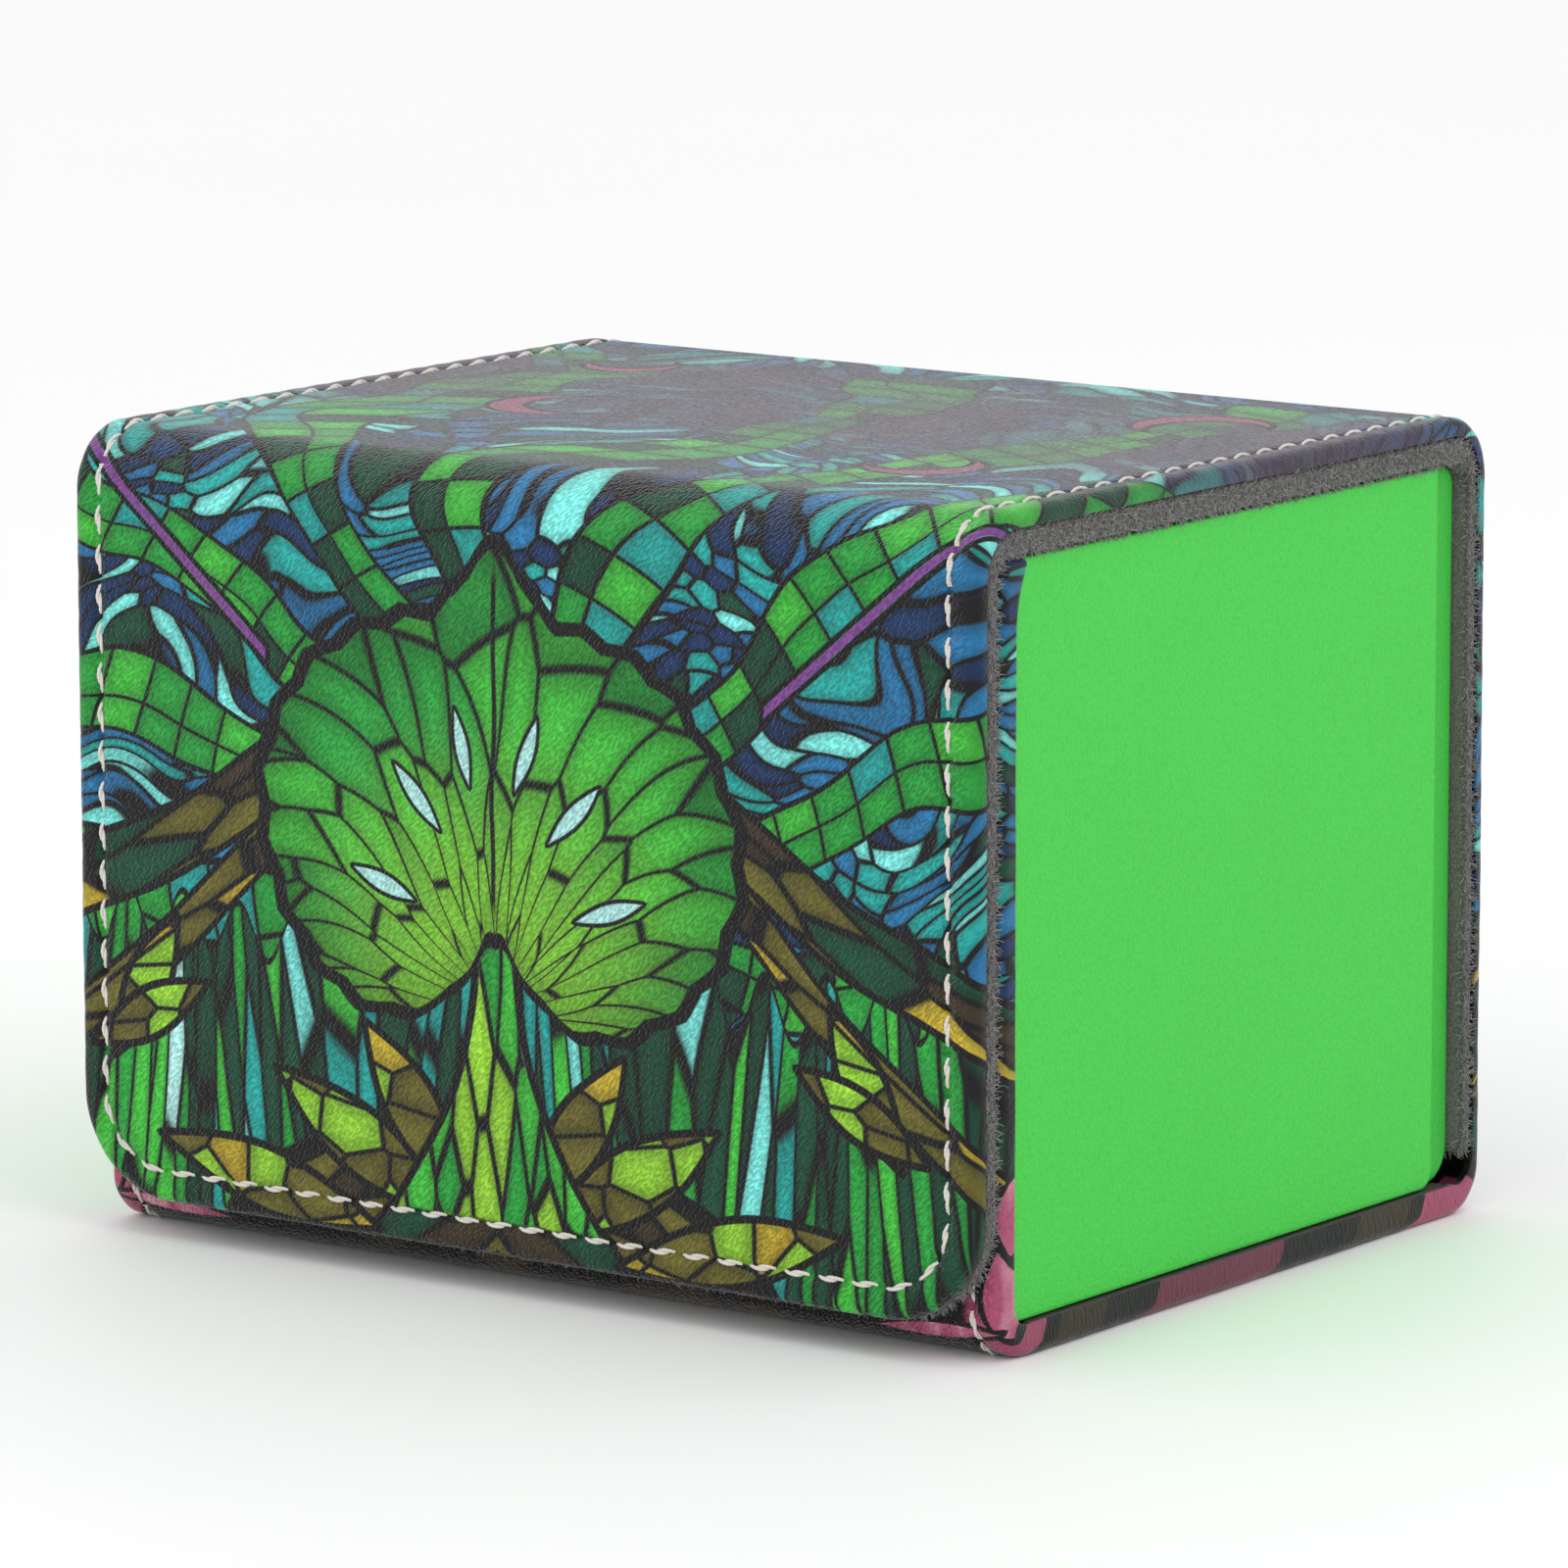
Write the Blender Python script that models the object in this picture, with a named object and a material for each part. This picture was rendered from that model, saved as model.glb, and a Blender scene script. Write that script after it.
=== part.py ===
"""Card deck box: a leather strip folded round a covered tray, with a hinged lid and a magnetic flap.

Axes: X along the front, Y to the back, Z up. The origin is under the middle of the box.
The strip is laid out flat first, as (x, s, n): x across it, s along its outer face from the
flap's free edge to the top of the front wall, n into its thickness. Then it is folded.
"""

import bisect
from math import cos, pi, sin

import bmesh
import bpy
from mathutils import Vector

MM = 0.001

# Overall size
WIDTH = 107.0 * MM
DEPTH = 87.5 * MM
HEIGHT = 79.5 * MM

# The leather strip
LEATHER_T = 0.8 * MM
EDGE_ROLL = 1.2 * MM
EDGE_ROLL_STEPS = 4
LINED_EDGE_T = 1.75 * MM
BOTTOM_EDGE_T = 3.2 * MM
FRONT_EDGE_T = 2.4 * MM
FRONT_TOP_HEM = 2.0 * MM
FRONT_TOP_HEM_RUN = 7.0 * MM
FLAP_BOTTOM_Z = 3.7 * MM
FLAP_CORNER_R = 10.5 * MM
FRONT_TOP_CORNER_R = 1.5 * MM
FRONT_TOP_DROP = 1.1 * MM
FLAP_TO_FRONT_GAP = 0.3 * MM

# Folds of the strip, outer radii
FOLD_R_FRONT_TOP = 6.5 * MM
FOLD_R_BACK_TOP = 6.0 * MM
FOLD_R_BACK_BOTTOM = 5.0 * MM
FOLD_R_FRONT_BOTTOM = 5.0 * MM
FOLD_STEPS = 8
FOLD_CUT_GAP = 0.4 * MM

# Stiffeners and linings
GLUE_GAP = 0.15 * MM
SEAT_GAP = 0.2 * MM
BOARD_SIDE_GAP = 0.3 * MM
BOARD_END_GAP = 0.5 * MM
FLAP_LINING_T = 1.9 * MM
LID_LINING_T = 2.5 * MM
BACK_LINING_T = 1.5 * MM
LINING_INSET = 0.2 * MM
LINING_EDGE_SHARE = 0.3
BACK_LINING_FOOT = 1.0 * MM

# Stitching
STITCH_INSET = 3.2 * MM
GROOVE_MOUTH = 1.6 * MM
GROOVE_FLOOR = 0.7 * MM
GROOVE_DEPTH = 0.5 * MM
THREAD_WIDTH = 0.5 * MM
THREAD_GAP = 0.1 * MM

# Magnets
MAGNET_R = 6.0 * MM
MAGNET_POCKET_GAP = 0.2 * MM
MAGNET_SPREAD = 28.0 * MM
MAGNET_HEIGHT = 14.0 * MM
MAGNET_SIDES = 32

# Tray and side panels
SIDE_RECESS = 0.8 * MM
SIDE_PANEL_T = 0.8 * MM
SIDE_PANEL_BACK_INSET = 4.4 * MM
SIDE_PANEL_R = 1.8 * MM
TRAY_WALL_T = 2.0 * MM
TRAY_LINING_T = 1.0 * MM
TRAY_LINING_DROP = 1.5 * MM
TRAY_CORNER_R = 3.6 * MM
TRAY_TOP_BACK_R = 2.2 * MM
TRAY_TO_LID_GAP = 0.3 * MM
WALL_JOINT_GAP = 0.15 * MM
WALL_BEVEL = 0.5 * MM
SHEET_BEVEL = 0.2 * MM
CORNER_STEPS = 8
HEM_STEPS = 5

HALF_WIDTH = WIDTH / 2
HALF_DEPTH = DEPTH / 2
FLAP_T = LINED_EDGE_T + GLUE_GAP + FLAP_LINING_T
LID_T = LINED_EDGE_T + GLUE_GAP + LID_LINING_T
BACK_T = LINED_EDGE_T + GLUE_GAP + BACK_LINING_T
FRONT_Y = -HALF_DEPTH + FLAP_T + FLAP_TO_FRONT_GAP
LID_UNDERSIDE_Z = HEIGHT - LID_T
FRONT_TOP_Z = LID_UNDERSIDE_Z - FRONT_TOP_DROP
BOARD_TOP_N = LEATHER_T + GLUE_GAP

TRAY_HALF_WIDTH = HALF_WIDTH - SIDE_RECESS - SIDE_PANEL_T - GLUE_GAP
TRAY_FRONT_Y = FRONT_Y + FRONT_EDGE_T + SEAT_GAP
TRAY_BACK_Y = HALF_DEPTH - BACK_T - SEAT_GAP
TRAY_BOTTOM_Z = BOTTOM_EDGE_T + SEAT_GAP
TRAY_TOP_Z = LID_UNDERSIDE_Z - TRAY_TO_LID_GAP


class FoldedStrip:
    """The strip's outer face in the YZ plane: straight runs joined by right-hand quarter folds."""

    def __init__(self, corners, radii):
        self.runs = []
        self.folds = []
        self.pieces = []
        s = 0.0
        radius_before = 0.0
        for start, end, radius in zip(corners, corners[1:], radii):
            along = (end - start).normalized()
            inward = Vector((along.y, -along.x))
            origin = start + along * radius_before
            length = (end - start).length - radius_before - radius
            self.pieces.append((s, origin, along, inward, 0.0))
            self.runs.append((s, s + length))
            s += length
            if radius:
                centre = end - along * radius + inward * radius
                self.pieces.append((s, centre, along, inward, radius))
                self.folds.append((s, s + radius * pi / 2))
                s += radius * pi / 2
            radius_before = radius
        self.starts = [piece[0] for piece in self.pieces]

    def place(self, s, n):
        """The (y, z) point at s along the outer face and n inside it."""
        index = max(0, bisect.bisect_right(self.starts, s) - 1)
        start, origin, along, inward, radius = self.pieces[index]
        if not radius:
            return origin + along * (s - start) + inward * n
        angle = (s - start) / radius
        return origin + (along * sin(angle) - inward * cos(angle)) * (radius - n)

    def fold_stations(self):
        """Where the flat strip is scored so that it bends smoothly."""
        return [low + (high - low) * k / FOLD_STEPS
                for low, high in self.folds for k in range(FOLD_STEPS + 1)]

    def crease(self, index):
        """The middle of one fold, which is its hinge line."""
        low, high = self.folds[index]
        return (low + high) / 2


STRIP = FoldedStrip(
    [Vector(corner) for corner in (
        (-HALF_DEPTH, FLAP_BOTTOM_Z), (-HALF_DEPTH, HEIGHT), (HALF_DEPTH, HEIGHT),
        (HALF_DEPTH, 0.0), (FRONT_Y, 0.0), (FRONT_Y, FRONT_TOP_Z))],
    (FOLD_R_FRONT_TOP, FOLD_R_BACK_TOP, FOLD_R_BACK_BOTTOM, FOLD_R_FRONT_BOTTOM, 0.0))
FLAP_RUN, LID_RUN, BACK_RUN, BOTTOM_RUN, FRONT_RUN = STRIP.runs
FLAP_CREASE = STRIP.crease(0)
LID_CREASE = STRIP.crease(1)
BACK_BOTTOM_FOLD = STRIP.folds[2]
FRONT_BOTTOM_FOLD = STRIP.folds[3]
OVERRUN = 3 * FLAP_CORNER_R


def clear_scene():
    for thing in list(bpy.data.objects):
        bpy.data.objects.remove(thing, do_unlink=True)


def make_material(name, colour, roughness, metallic=0.0):
    material = bpy.data.materials.new(name)
    material.use_nodes = True
    shader = material.node_tree.nodes["Principled BSDF"]
    shader.inputs["Base Color"].default_value = (*colour, 1.0)
    shader.inputs["Roughness"].default_value = roughness
    shader.inputs["Metallic"].default_value = metallic
    return material


def add_object(name, bm, material, axis=None):
    """One named solid in world place, parented to the empty on its joint's axis."""
    bmesh.ops.remove_doubles(bm, verts=bm.verts, dist=1e-7)
    bmesh.ops.recalc_face_normals(bm, faces=bm.faces)
    mesh = bpy.data.meshes.new(name)
    bm.to_mesh(mesh)
    bm.free()
    mesh.materials.append(material)
    thing = bpy.data.objects.new(name, mesh)
    bpy.context.collection.objects.link(thing)
    if axis:
        thing.parent = axis
        thing.location = -world_place(axis)
    return thing


def world_place(empty):
    place = empty.location.copy()
    if empty.parent:
        place += world_place(empty.parent)
    return place


def make_axis(name, crease, parent=None):
    """An empty on the hinge line, in the leather's outer face at the middle of a fold."""
    empty = bpy.data.objects.new(name, None)
    y, z = STRIP.place(crease, 0.0)
    empty.location = (0.0, y, z)
    if parent:
        empty.parent = parent
        empty.location -= world_place(parent)
    bpy.context.collection.objects.link(empty)
    return empty


def rounded_outline(half_width, low, high, radius_low, radius_high):
    """A rectangle in (x, s) with rounded corners, the same number of points whatever its size."""
    points = []
    corners = ((half_width, low, radius_low, -pi / 2), (half_width, high, radius_high, 0.0),
               (-half_width, high, radius_high, pi / 2), (-half_width, low, radius_low, pi))
    for x, s, radius, start in corners:
        centre_x = x - radius if x > 0 else x + radius
        centre_s = s + radius if s == low else s - radius
        for k in range(CORNER_STEPS + 1):
            angle = start + pi / 2 * k / CORNER_STEPS
            points.append((centre_x + radius * cos(angle), centre_s + radius * sin(angle)))
    return points


def flat_solid(rings, half_width, low, high, radius_low=0.0, radius_high=0.0):
    """A flat solid from rings of (inset, depth), capped at the first ring and at the last."""
    bm = bmesh.new()
    loops = []
    for inset, depth in rings:
        outline = rounded_outline(half_width - inset, low + inset, high - inset,
                                  max(radius_low - inset, 0.0), max(radius_high - inset, 0.0))
        loops.append([bm.verts.new((x, s, depth)) for x, s in outline])
    count = len(loops[0])
    for one, other in zip(loops, loops[1:]):
        for k in range(count):
            after = (k + 1) % count
            bm.faces.new((one[k], one[after], other[after], other[k]))
    bm.faces.new(loops[0])
    bm.faces.new(reversed(loops[-1]))
    bmesh.ops.remove_doubles(bm, verts=bm.verts, dist=1e-7)
    return bm


def band_solid(inner, outer, top, bottom, half_width, low, high, radius_low, radius_high):
    """A closed band along an outline, between two insets and two depths."""
    bm = bmesh.new()
    loops = []
    for inset, depth in ((outer, top), (outer, bottom), (inner, bottom), (inner, top)):
        outline = rounded_outline(half_width - inset, low + inset, high - inset,
                                  max(radius_low - inset, 0.0), max(radius_high - inset, 0.0))
        loops.append([bm.verts.new((x, s, depth)) for x, s in outline])
    count = len(loops[0])
    for one, other in zip(loops, loops[1:] + loops[:1]):
        for k in range(count):
            after = (k + 1) % count
            bm.faces.new((one[k], one[after], other[after], other[k]))
    bmesh.ops.remove_doubles(bm, verts=bm.verts, dist=1e-7)
    return bm


def trim(bm, s, keep_above):
    """Cuts the flat piece across at s and closes each cut end."""
    found = bmesh.ops.bisect_plane(
        bm, geom=bm.verts[:] + bm.edges[:] + bm.faces[:], plane_co=(0.0, s, 0.0),
        plane_no=(0.0, 1.0, 0.0), clear_outer=not keep_above, clear_inner=keep_above)
    edges = [part for part in found["geom_cut"] if isinstance(part, bmesh.types.BMEdge)]
    bmesh.ops.edgeloop_fill(bm, edges=edges)


def score(bm, stations):
    """Splits the flat piece across at each station, so that it can bend there."""
    for s in stations:
        bmesh.ops.bisect_plane(
            bm, geom=bm.verts[:] + bm.edges[:] + bm.faces[:],
            plane_co=(0.0, s, 0.0), plane_no=(0.0, 1.0, 0.0))


def fold(bm):
    """Bends the flat piece round the box."""
    score(bm, STRIP.fold_stations())
    for vert in bm.verts:
        x, s, n = vert.co
        y, z = STRIP.place(s, n)
        vert.co = (x, y, z)


def blend(value, low, high):
    return min(max((value - low) / (high - low), 0.0), 1.0)


def front_hem(z):
    """How far the front wall's side edges swell backwards towards its top."""
    return FRONT_TOP_HEM * blend(z, FRONT_TOP_Z - FRONT_TOP_HEM_RUN, FRONT_TOP_Z) ** 2


def hem_heights():
    """Heights at which the swelling hem is drawn."""
    return [FRONT_TOP_Z - FRONT_TOP_HEM_RUN * k / HEM_STEPS for k in range(1, HEM_STEPS + 1)]


def base_edge_depth(x, s):
    """How deep the base leather's turned edge is: lined back, thick underside, front wall."""
    if s < FRONT_BOTTOM_FOLD[0]:
        share = blend(s, BACK_RUN[1] - BACK_LINING_FOOT, BACK_BOTTOM_FOLD[1])
        return LINED_EDGE_T + (BOTTOM_EDGE_T - LINED_EDGE_T) * share
    depth = BOTTOM_EDGE_T + (FRONT_EDGE_T - BOTTOM_EDGE_T) * blend(s, *FRONT_BOTTOM_FOLD)
    at_side = blend(abs(x), HALF_WIDTH - FRONT_TOP_CORNER_R, HALF_WIDTH - LEATHER_T)
    return depth + at_side * front_hem(FRONT_TOP_Z - FRONT_RUN[1] + s)


def leather_rings():
    """The leather's section: stitch groove, rolled edge, turned-in side and inner face."""
    rings = [(STITCH_INSET + GROOVE_MOUTH / 2, 0.0),
             (STITCH_INSET + GROOVE_FLOOR / 2, GROOVE_DEPTH),
             (STITCH_INSET - GROOVE_FLOOR / 2, GROOVE_DEPTH),
             (STITCH_INSET - GROOVE_MOUTH / 2, 0.0)]
    for k in range(EDGE_ROLL_STEPS + 1):
        angle = pi / 2 * k / EDGE_ROLL_STEPS
        rings.append((EDGE_ROLL * (1 - sin(angle)), EDGE_ROLL * (1 - cos(angle))))
    rings += [(0.0, LINED_EDGE_T), (LEATHER_T, LINED_EDGE_T), (LEATHER_T, LEATHER_T)]
    return rings


def make_flap_leather(material, axis):
    bm = flat_solid(leather_rings(), HALF_WIDTH, FLAP_RUN[0], FLAP_CREASE + OVERRUN,
                    FLAP_CORNER_R, FLAP_CORNER_R)
    trim(bm, FLAP_CREASE - FOLD_CUT_GAP / 2, keep_above=False)
    fold(bm)
    return add_object("flap_leather", bm, material, axis)


def make_lid_leather(material, axis):
    bm = flat_solid(leather_rings(), HALF_WIDTH, FLAP_CREASE - OVERRUN, LID_CREASE + OVERRUN,
                    FLAP_CORNER_R, FLAP_CORNER_R)
    trim(bm, FLAP_CREASE + FOLD_CUT_GAP / 2, keep_above=True)
    trim(bm, LID_CREASE - FOLD_CUT_GAP / 2, keep_above=False)
    fold(bm)
    return add_object("lid_leather", bm, material, axis)


def make_base_leather(material):
    bm = flat_solid(leather_rings(), HALF_WIDTH, LID_CREASE - OVERRUN, FRONT_RUN[1],
                    FLAP_CORNER_R, FRONT_TOP_CORNER_R)
    trim(bm, LID_CREASE + FOLD_CUT_GAP / 2, keep_above=True)
    hem = [FRONT_RUN[1] - FRONT_TOP_Z + z for z in hem_heights()]
    score(bm, STRIP.fold_stations() + hem + [BACK_RUN[1] - BACK_LINING_FOOT])
    for vert in bm.verts:
        x, s, n = vert.co
        if n > (EDGE_ROLL + LINED_EDGE_T) / 2:
            vert.co = (x, s, base_edge_depth(x, s))
    fold(bm)
    return add_object("base_leather", bm, material)


def thread_band(low, high, radius_low, radius_high):
    """The seam's run of thread, lying in the stitch groove."""
    top = THREAD_GAP
    bottom = GROOVE_DEPTH - THREAD_GAP
    return band_solid(STITCH_INSET + THREAD_WIDTH / 2, STITCH_INSET - THREAD_WIDTH / 2, top, bottom,
                      HALF_WIDTH, low, high, radius_low, radius_high)


def make_flap_thread(material, axis):
    bm = thread_band(FLAP_RUN[0], FLAP_CREASE + OVERRUN, FLAP_CORNER_R, FLAP_CORNER_R)
    trim(bm, FLAP_CREASE - FOLD_CUT_GAP / 2, keep_above=False)
    fold(bm)
    return add_object("flap_thread", bm, material, axis)


def make_lid_thread(name, side, material, axis):
    bm = thread_band(FLAP_CREASE - OVERRUN, LID_CREASE + OVERRUN, FLAP_CORNER_R, FLAP_CORNER_R)
    trim(bm, FLAP_CREASE + FOLD_CUT_GAP / 2, keep_above=True)
    trim(bm, LID_CREASE - FOLD_CUT_GAP / 2, keep_above=False)
    other_side = [vert for vert in bm.verts if vert.co.x * side < 0]
    bmesh.ops.delete(bm, geom=other_side, context="VERTS")
    fold(bm)
    return add_object(name, bm, material, axis)


def make_base_thread(material):
    bm = thread_band(LID_CREASE - OVERRUN, FRONT_RUN[1], FLAP_CORNER_R, FRONT_TOP_CORNER_R)
    trim(bm, LID_CREASE + FOLD_CUT_GAP / 2, keep_above=True)
    fold(bm)
    return add_object("base_thread", bm, material)


def make_board(name, run, thickness, material, axis=None, radius_low=0.0, end_low=0.0, end_high=0.0):
    """A flat stiffener between two folds, inside the leather's turned edges."""
    half_width = HALF_WIDTH - LEATHER_T - BOARD_SIDE_GAP
    rings = [(0.0, BOARD_TOP_N), (0.0, BOARD_TOP_N + thickness)]
    low = run[0] + BOARD_END_GAP + end_low
    high = run[1] - BOARD_END_GAP - end_high
    bm = flat_solid(rings, half_width, low, high, radius_low, 0.0)
    fold(bm)
    return add_object(name, bm, material, axis)


def lining_rings(thickness):
    top = LINED_EDGE_T + GLUE_GAP
    edge = LINING_EDGE_SHARE * thickness
    return [(edge, top), (0.0, top + edge), (0.0, top + thickness - edge), (edge, top + thickness)]


def make_flap_lining(material, axis):
    bm = flat_solid(lining_rings(FLAP_LINING_T), HALF_WIDTH - LINING_INSET,
                    FLAP_RUN[0] + LINING_INSET, FLAP_CREASE + OVERRUN,
                    FLAP_CORNER_R - LINING_INSET, FLAP_CORNER_R)
    trim(bm, FLAP_CREASE - FOLD_CUT_GAP / 2, keep_above=False)
    fold(bm)
    return add_object("flap_lining", bm, material, axis)


def make_lid_lining(material, axis):
    bm = flat_solid(lining_rings(LID_LINING_T), HALF_WIDTH - LINING_INSET,
                    FLAP_CREASE - OVERRUN, LID_CREASE + OVERRUN)
    trim(bm, FLAP_CREASE + FOLD_CUT_GAP / 2, keep_above=True)
    trim(bm, LID_CREASE - FOLD_CUT_GAP / 2, keep_above=False)
    fold(bm)
    return add_object("lid_lining", bm, material, axis)


def make_back_lining(material):
    bm = flat_solid(lining_rings(BACK_LINING_T), HALF_WIDTH - LINING_INSET,
                    LID_CREASE - OVERRUN, BACK_RUN[1] - BACK_LINING_FOOT)
    trim(bm, LID_CREASE + FOLD_CUT_GAP / 2, keep_above=True)
    fold(bm)
    return add_object("back_lining", bm, material)


def magnet_disc(x, y_low, y_high, radius):
    bm = bmesh.new()
    bmesh.ops.create_cone(bm, cap_ends=True, segments=MAGNET_SIDES, radius1=radius, radius2=radius,
                          depth=y_high - y_low)
    for vert in bm.verts:
        vert.co = (x + vert.co.x, (y_low + y_high) / 2 + vert.co.z, MAGNET_HEIGHT + vert.co.y)
    return bm


def cut_magnet_pocket(board, x, y_low, y_high, axis=None):
    """A round hole through the board, a little wider than its magnet."""
    reach = y_high - y_low
    bm = magnet_disc(x, y_low - reach, y_high + reach, MAGNET_R + MAGNET_POCKET_GAP)
    cutter = add_object(board.name + "_pocket", bm, board.data.materials[0], axis)
    cutter.hide_render = True
    cutter.display_type = "WIRE"
    hole = board.modifiers.new("magnet_pocket", "BOOLEAN")
    hole.operation = "DIFFERENCE"
    hole.solver = "EXACT"
    hole.object = cutter


def make_magnets(prefix, board, outer_face_y, thickness, material, axis=None):
    """A left and a right disc magnet, each let into the board behind the leather."""
    y_low = outer_face_y + BOARD_TOP_N
    for label, side in (("left", -1), ("right", 1)):
        x = side * MAGNET_SPREAD
        cut_magnet_pocket(board, x, y_low, y_low + thickness, axis)
        disc = magnet_disc(x, y_low, y_low + thickness, MAGNET_R)
        add_object(prefix + "_magnet_" + label, disc, material, axis)


def make_box(name, low, high, material, bevel=0.0):
    bm = bmesh.new()
    bmesh.ops.create_cube(bm, size=1.0)
    for vert in bm.verts:
        vert.co = [low[k] if vert.co[k] < 0 else high[k] for k in range(3)]
    thing = add_object(name, bm, material)
    if bevel:
        rounding = thing.modifiers.new("rounding", "BEVEL")
        rounding.width = bevel
        rounding.segments = 2
    return thing


def corner_arc(y, z, radius_y, radius_z, start):
    """Points of a rounded corner in the YZ plane, given the centre of its arc."""
    return [(y + radius_y * cos(start + pi / 2 * k / CORNER_STEPS),
             z + radius_z * sin(start + pi / 2 * k / CORNER_STEPS)) for k in range(CORNER_STEPS + 1)]


def side_sheet(name, outline, x_low, x_high, material, bevel):
    """A flat sheet standing at one end of the box, from its outline in the YZ plane."""
    bm = bmesh.new()
    low = [bm.verts.new((x_low, y, z)) for y, z in outline]
    high = [bm.verts.new((x_high, y, z)) for y, z in outline]
    bm.faces.new(low)
    bm.faces.new(reversed(high))
    for k in range(len(low)):
        after = (k + 1) % len(low)
        bm.faces.new((low[k], high[k], high[after], low[after]))
    thing = add_object(name, bm, material)
    rounding = thing.modifiers.new("rounding", "BEVEL")
    rounding.width = bevel
    rounding.segments = 2
    rounding.limit_method = "ANGLE"
    return thing


def tray_wall_outline():
    """An end wall, with its top back corner rounded to clear the folded lining."""
    low_y, low_z, top_z = TRAY_FRONT_Y, TRAY_BOTTOM_Z, TRAY_TOP_Z
    foot, shoulder = TRAY_CORNER_R, TRAY_TOP_BACK_R
    return (corner_arc(low_y + foot, low_z + foot, foot, foot, pi)
            + corner_arc(TRAY_BACK_Y - foot, low_z + foot, foot, foot, -pi / 2)
            + corner_arc(TRAY_BACK_Y - shoulder, top_z - shoulder, shoulder, shoulder, 0.0)
            + [(low_y, top_z)])


def side_panel_outline():
    """A side panel, with its front top corner swept back to clear the front wall's hem."""
    low_y, low_z, foot = TRAY_FRONT_Y, TRAY_BOTTOM_Z, SIDE_PANEL_R
    back_y = TRAY_BACK_Y - SIDE_PANEL_BACK_INSET
    hem = [(low_y + front_hem(z), z) for z in [TRAY_TOP_Z, FRONT_TOP_Z] + hem_heights()]
    return (corner_arc(low_y + foot, low_z + foot, foot, foot, pi)
            + corner_arc(back_y - foot, low_z + foot, foot, foot, -pi / 2)
            + [(back_y, TRAY_TOP_Z)] + hem)


def tray_back_outline():
    """The back wall seen from its end, with the same rounded top as the end walls."""
    shoulder = TRAY_TOP_BACK_R
    front_y = TRAY_BACK_Y - TRAY_WALL_T
    rise = min(shoulder, TRAY_WALL_T)
    return ([(front_y, TRAY_BOTTOM_Z), (TRAY_BACK_Y, TRAY_BOTTOM_Z)]
            + corner_arc(TRAY_BACK_Y - rise, TRAY_TOP_Z - shoulder, rise, shoulder, 0.0))


def make_side_pieces(green):
    """The tray's end walls and the flat panels glued outside them."""
    wall_inner = TRAY_HALF_WIDTH - TRAY_WALL_T
    panel_inner = TRAY_HALF_WIDTH + GLUE_GAP
    panel_outer = panel_inner + SIDE_PANEL_T
    wall_outline = tray_wall_outline()
    panel_outline = side_panel_outline()
    for label, side in (("left", -1), ("right", 1)):
        side_sheet("tray_" + label, wall_outline, side * wall_inner, side * TRAY_HALF_WIDTH, green,
                   WALL_BEVEL)
        side_sheet("side_panel_" + label, panel_outline, side * panel_inner, side * panel_outer,
                   green, SHEET_BEVEL)


def make_tray(green):
    """The tray's front, back and floor, standing between its end walls."""
    half = TRAY_HALF_WIDTH - TRAY_WALL_T - WALL_JOINT_GAP
    front_in = TRAY_FRONT_Y + TRAY_WALL_T
    back_in = TRAY_BACK_Y - TRAY_WALL_T
    floor_z = TRAY_BOTTOM_Z + TRAY_WALL_T
    make_box("tray_front", (-half, TRAY_FRONT_Y, TRAY_BOTTOM_Z), (half, front_in, TRAY_TOP_Z), green,
             WALL_BEVEL)
    side_sheet("tray_back", tray_back_outline(), -half, half, green, SHEET_BEVEL)
    make_box("tray_floor", (-half, front_in + WALL_JOINT_GAP, TRAY_BOTTOM_Z),
             (half, back_in - WALL_JOINT_GAP, floor_z), green)


def make_tray_linings(grey):
    """The soft lining on the tray's floor and on its four walls."""
    lining = TRAY_LINING_T
    wall_x = TRAY_HALF_WIDTH - TRAY_WALL_T - GLUE_GAP
    front_y = TRAY_FRONT_Y + TRAY_WALL_T + GLUE_GAP
    back_y = TRAY_BACK_Y - TRAY_WALL_T - GLUE_GAP
    floor_z = TRAY_BOTTOM_Z + TRAY_WALL_T + GLUE_GAP
    top_z = TRAY_TOP_Z - TRAY_LINING_DROP
    inner_x = wall_x - lining - WALL_JOINT_GAP
    inner_front = front_y + lining + WALL_JOINT_GAP
    inner_back = back_y - lining - WALL_JOINT_GAP
    make_box("tray_lining_floor", (-inner_x, inner_front, floor_z),
             (inner_x, inner_back, floor_z + lining), grey)
    make_box("tray_lining_left", (-wall_x, front_y, floor_z), (lining - wall_x, back_y, top_z), grey)
    make_box("tray_lining_right", (wall_x - lining, front_y, floor_z), (wall_x, back_y, top_z), grey)
    make_box("tray_lining_front", (-inner_x, front_y, floor_z), (inner_x, front_y + lining, top_z), grey)
    make_box("tray_lining_back", (-inner_x, back_y - lining, floor_z), (inner_x, back_y, top_z), grey)


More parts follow.
